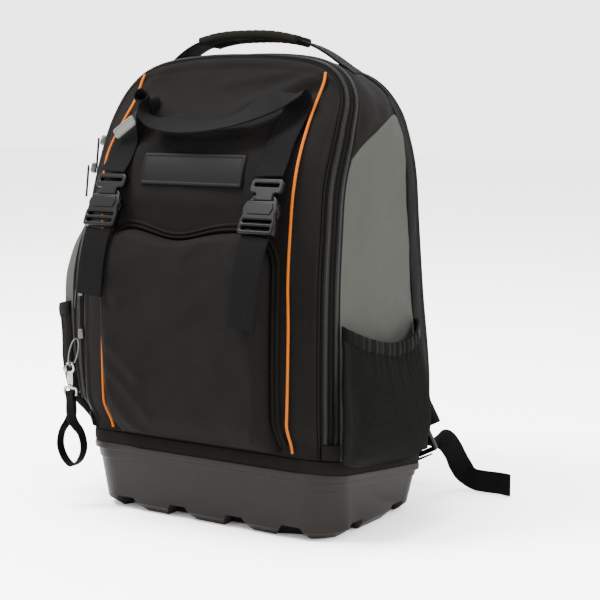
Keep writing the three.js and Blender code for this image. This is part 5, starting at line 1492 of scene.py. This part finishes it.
def notch_cutters(grown):
    shape = [(-NOTCH_WIDTH / 2 - grown, -5), (NOTCH_WIDTH / 2 + grown, -5),
             (NOTCH_TOP / 2 + grown, NOTCH_HEIGHT + grown),
             (-NOTCH_TOP / 2 - grown, NOTCH_HEIGHT + grown)]
    near, far = -SOLE_INSET, NOTCH_REACH + grown
    places = []
    for i in range(NOTCHES_ACROSS):
        share = i / (NOTCHES_ACROSS - 1) * 2 - 1
        x = share * NOTCH_PITCH * (NOTCHES_ACROSS - 1) / 2
        turn = NOTCH_TURN * math.copysign(1, share) * max(abs(share) * 2 - 1, 0)
        places += [(x, -BASE_DEPTH / 2, turn), (x, BASE_DEPTH / 2, 180 - turn)]
    for i in range(NOTCHES_DEEP):
        y = (i - (NOTCHES_DEEP - 1) / 2) * NOTCH_PITCH_DEEP
        places += [(BASE_WIDTH / 2, y, 90), (-BASE_WIDTH / 2, y, 270)]
    made = []
    for x, y, turn in places:
        a = math.radians(turn)
        rings = []
        for depth in (near, far):
            rings.append([(px * math.cos(a) - depth * math.sin(a) + x,
                           px * math.sin(a) + depth * math.cos(a) + y, pz)
                          for px, pz in shape])
        made.append(loft_mesh(np.array(rings)))
    return made


def base():
    wall, low_corner = RIM_PROUD + WALL_DRAFT, BASE_CORNER + 4

    outer = [plan_ring(SOLE_INSET, SOLE_CORNER, lambda y: 0 * y),
             plan_ring(wall, low_corner, lambda y: SOLE_CHAMFER + 0 * y),
             plan_ring(mix(wall, RIM_PROUD, 0.82), BASE_CORNER + 1,
                       lambda y: mix(SOLE_CHAMFER, rim_top(y) - RIM_HEIGHT, 0.82)),
             plan_ring(mix(wall, RIM_PROUD, 0.84) - 0.9, BASE_CORNER + 1,
                       lambda y: mix(SOLE_CHAMFER, rim_top(y) - RIM_HEIGHT, 0.84)),
             plan_ring(RIM_PROUD - 0.9, BASE_CORNER, lambda y: rim_top(y) - RIM_HEIGHT),
             plan_ring(0.4, BASE_CORNER, lambda y: rim_top(y) - RIM_HEIGHT + 1),
             plan_ring(0, BASE_CORNER, lambda y: rim_top(y) - RIM_HEIGHT + 2),
             plan_ring(0, BASE_CORNER, lambda y: rim_top(y) - 1),
             plan_ring(0.6, BASE_CORNER, lambda y: rim_top(y))]
    inner = [plan_ring(SOLE_INSET + TUB_WALL, SOLE_CORNER, lambda y: TUB_WALL + 0 * y),
             plan_ring(wall + TUB_WALL, low_corner, lambda y: SOLE_CHAMFER + TUB_WALL + 0 * y),
             plan_ring(RIM_PROUD + TUB_WALL, BASE_CORNER, lambda y: rim_top(y) - RIM_HEIGHT),
             plan_ring(RIM_PROUD + TUB_WALL, BASE_CORNER, lambda y: rim_top(y) + 1)]
    tub = plain_mesh("tray", *loft_mesh(np.stack(outer)))
    hollow = plain_mesh("hollow", *loft_mesh(np.stack(inner)))
    spare = []

    def cut(target, cutter, name):
        step = target.modifiers.new(name, "BOOLEAN")
        step.operation = "DIFFERENCE"
        step.object = cutter
        step.solver = "EXACT"
    for target, grown, name in ((tub, 0, "notch"), (hollow, TUB_WALL, "inner")):
        for k, (verts, faces) in enumerate(notch_cutters(grown)):
            spare.append(plain_mesh(f"{name}{k}", verts, faces))
            cut(target, spare[-1], f"{name}{k}")
    applied(hollow)
    cut(tub, hollow, "cavity")
    soften(tub, 1.6, 3, 22)
    made = applied(tub)
    for o in spare + [hollow]:
        bpy.data.objects.remove(o)
    shade_smooth(made, 40)
    made.materials.clear()
    made.materials.append(materials["base_plastic"])
    tub.name = "tray_moulding"
    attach(tub, "bag")
    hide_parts("base_tub")


def base_binding():
    rows = []
    count = 15
    for k in range(count):
        t = k / (count - 1)
        puff = 1.0 * math.sin(math.pi * t) ** 0.6
        inset = BAND_INSET - puff
        rows.append(plan_ring(max(inset, 0.1), BASE_CORNER - max(inset, 0.1),
                              lambda y, t=t: rim_top(y) + GAP + BAND_HEIGHT * t, 24))
    inset = BAND_INSET + BAND_THICK
    for t in (1, 0):
        rows.append(plan_ring(inset, BASE_CORNER - inset,
                              lambda y, t=t: rim_top(y) + GAP + BAND_HEIGHT * t, 24))
    rings = np.stack(rows)
    verts, faces = loft_mesh(rings, closed=True)
    run = run_along(np.vstack([rings[0], rings[0][:1]]))[:-1]
    uv = ring_uv(rings, run, np.linspace(0, 20, len(rows)))
    new_object("base_band", verts, faces, uv, "binding_cloth", "bag", 60,
               "base_binding")


base()
base_binding()


# ------------------------------------------------------------------ fob loop
def fob_loop():
    ring_top = -HOOK_LENGTH - GAP - COLLAR_HEIGHT + 1
    bar = np.array([HOOK_X, HOOK_Y, HOOK_TOP + ring_top - RING_HEIGHT + RING_WIRE / 2])
    rows, lean = [bar + [0, 0, RING_WIRE + 0.5]], [(1, 0, 0)]

    def leg(row, side):
        turn = math.radians(90 * row[2])
        out = row[1] * FOB_WIDTH / 2 * side
        return (bar + [out * math.sin(turn), -out * math.cos(turn), -row[0] * FOB_LENGTH],
                (math.cos(turn), math.sin(turn), 0))
    for row in FOB_ROWS:
        p, a = leg(row, 1)
        rows.append(p)
        lean.append(a)
    rows.append(bar + [0, 0, -FOB_LENGTH])
    lean.append((0, 1, 0))
    for row in FOB_ROWS[::-1]:
        p, a = leg(row, -1)
        rows.append(p)
        lean.append(a)
    rows, lean = np.array(rows), np.array(lean, float)
    # Closed and finely stepped
    n = len(rows)
    t = np.linspace(0, 1, 241)[:-1]
    wrap = np.vstack([rows[-2:], rows, rows[:3]])
    wrap_lean = np.vstack([lean[-2:], lean, lean[:3]])
    total = len(wrap) - 1
    where = (2 + t * n) / total
    centres = spline(wrap)(where)
    across = spline(wrap_lean, even=True)(where)
    along = unit(np.roll(centres, -1, 0) - np.roll(centres, 1, 0))
    flat = unit(across - along * dot(across, along)[:, None])
    face = np.cross(along, flat)
    outline = section(FOB_WEB, WEB_THICK, 0.5)
    rings = centres[:, None] + flat[:, None] * outline[:, :1] + face[:, None] * outline[:, 1:]
    verts, faces = loft_mesh(rings, closed=True)
    new_object("fob_strap", verts, faces, ring_uv(rings, outline[:, 0], run_along(centres)),
               "webbing", "eye", 70, "fob_loop")


fob_loop()


# ------------------------------------------------------------------ stage, light, camera
def stage():
    mesh = bpy.data.meshes.new("floor")
    size = 9.0
    mesh.from_pydata([(-size, -size, 0), (size, -size, 0), (size, size, 0), (-size, size, 0)],
                     [], [(0, 1, 2, 3)])
    floor = bpy.data.objects.new("floor", mesh)
    bpy.context.scene.collection.objects.link(floor)
    t = Tree("pale_floor", (0.93, 0.93, 0.93), 0.8)
    t.set("Specular IOR Level", 0.2)
    t.tint(t.noise(t.solid_place(), 3.0), (0.925, 0.925, 0.925), (0.935, 0.935, 0.935))
    mesh.materials.append(t.material)


def lamp(name, where, target, size, power, color=(1, 1, 1)):
    light = bpy.data.lights.new(name, "AREA")
    light.shape = "RECTANGLE"
    light.size, light.size_y = size
    light.energy = power
    light.color = color
    obj = bpy.data.objects.new(name, light)
    bpy.context.scene.collection.objects.link(obj)
    obj.location = where
    obj.rotation_mode = "QUATERNION"
    obj.rotation_quaternion = (Vector(target) - Vector(where)).to_track_quat("-Z", "Y")


def studio():
    world = bpy.data.worlds.new("studio")
    bpy.context.scene.world = world
    world.use_nodes = True
    back = world.node_tree.nodes["Background"]
    back.inputs["Color"].default_value = (1.0, 1.0, 1.0, 1)
    back.inputs["Strength"].default_value = 3.6
    lamp("key", (-1.1, -1.3, 2.6), (0, 0, 0.3), (0.8, 0.8), 270)
    lamp("side", (2.3, 0.2, 1.5), (0, 0, 0.25), (1.0, 1.0), 90)
    lamp("top", (-0.2, -0.4, 2.8), (0, 0, 0.3), (1.0, 1.0), 170)


def camera():
    data = bpy.data.cameras.new("camera")
    data.lens, data.sensor_width = 90, 36
    distance, height, turn, pan, tilt = 1.6, 0.4386, 34.5, 1.7, 7.6
    obj = bpy.data.objects.new("camera", data)
    bpy.context.scene.collection.objects.link(obj)
    azimuth = math.radians(turn)
    obj.location = (distance * math.sin(azimuth), -distance * math.cos(azimuth), height)
    obj.rotation_euler = (math.radians(90 - tilt), 0, math.radians(turn - pan))
    data.clip_start, data.clip_end = 0.05, 50
    bpy.context.scene.camera = obj


stage()
studio()
camera()
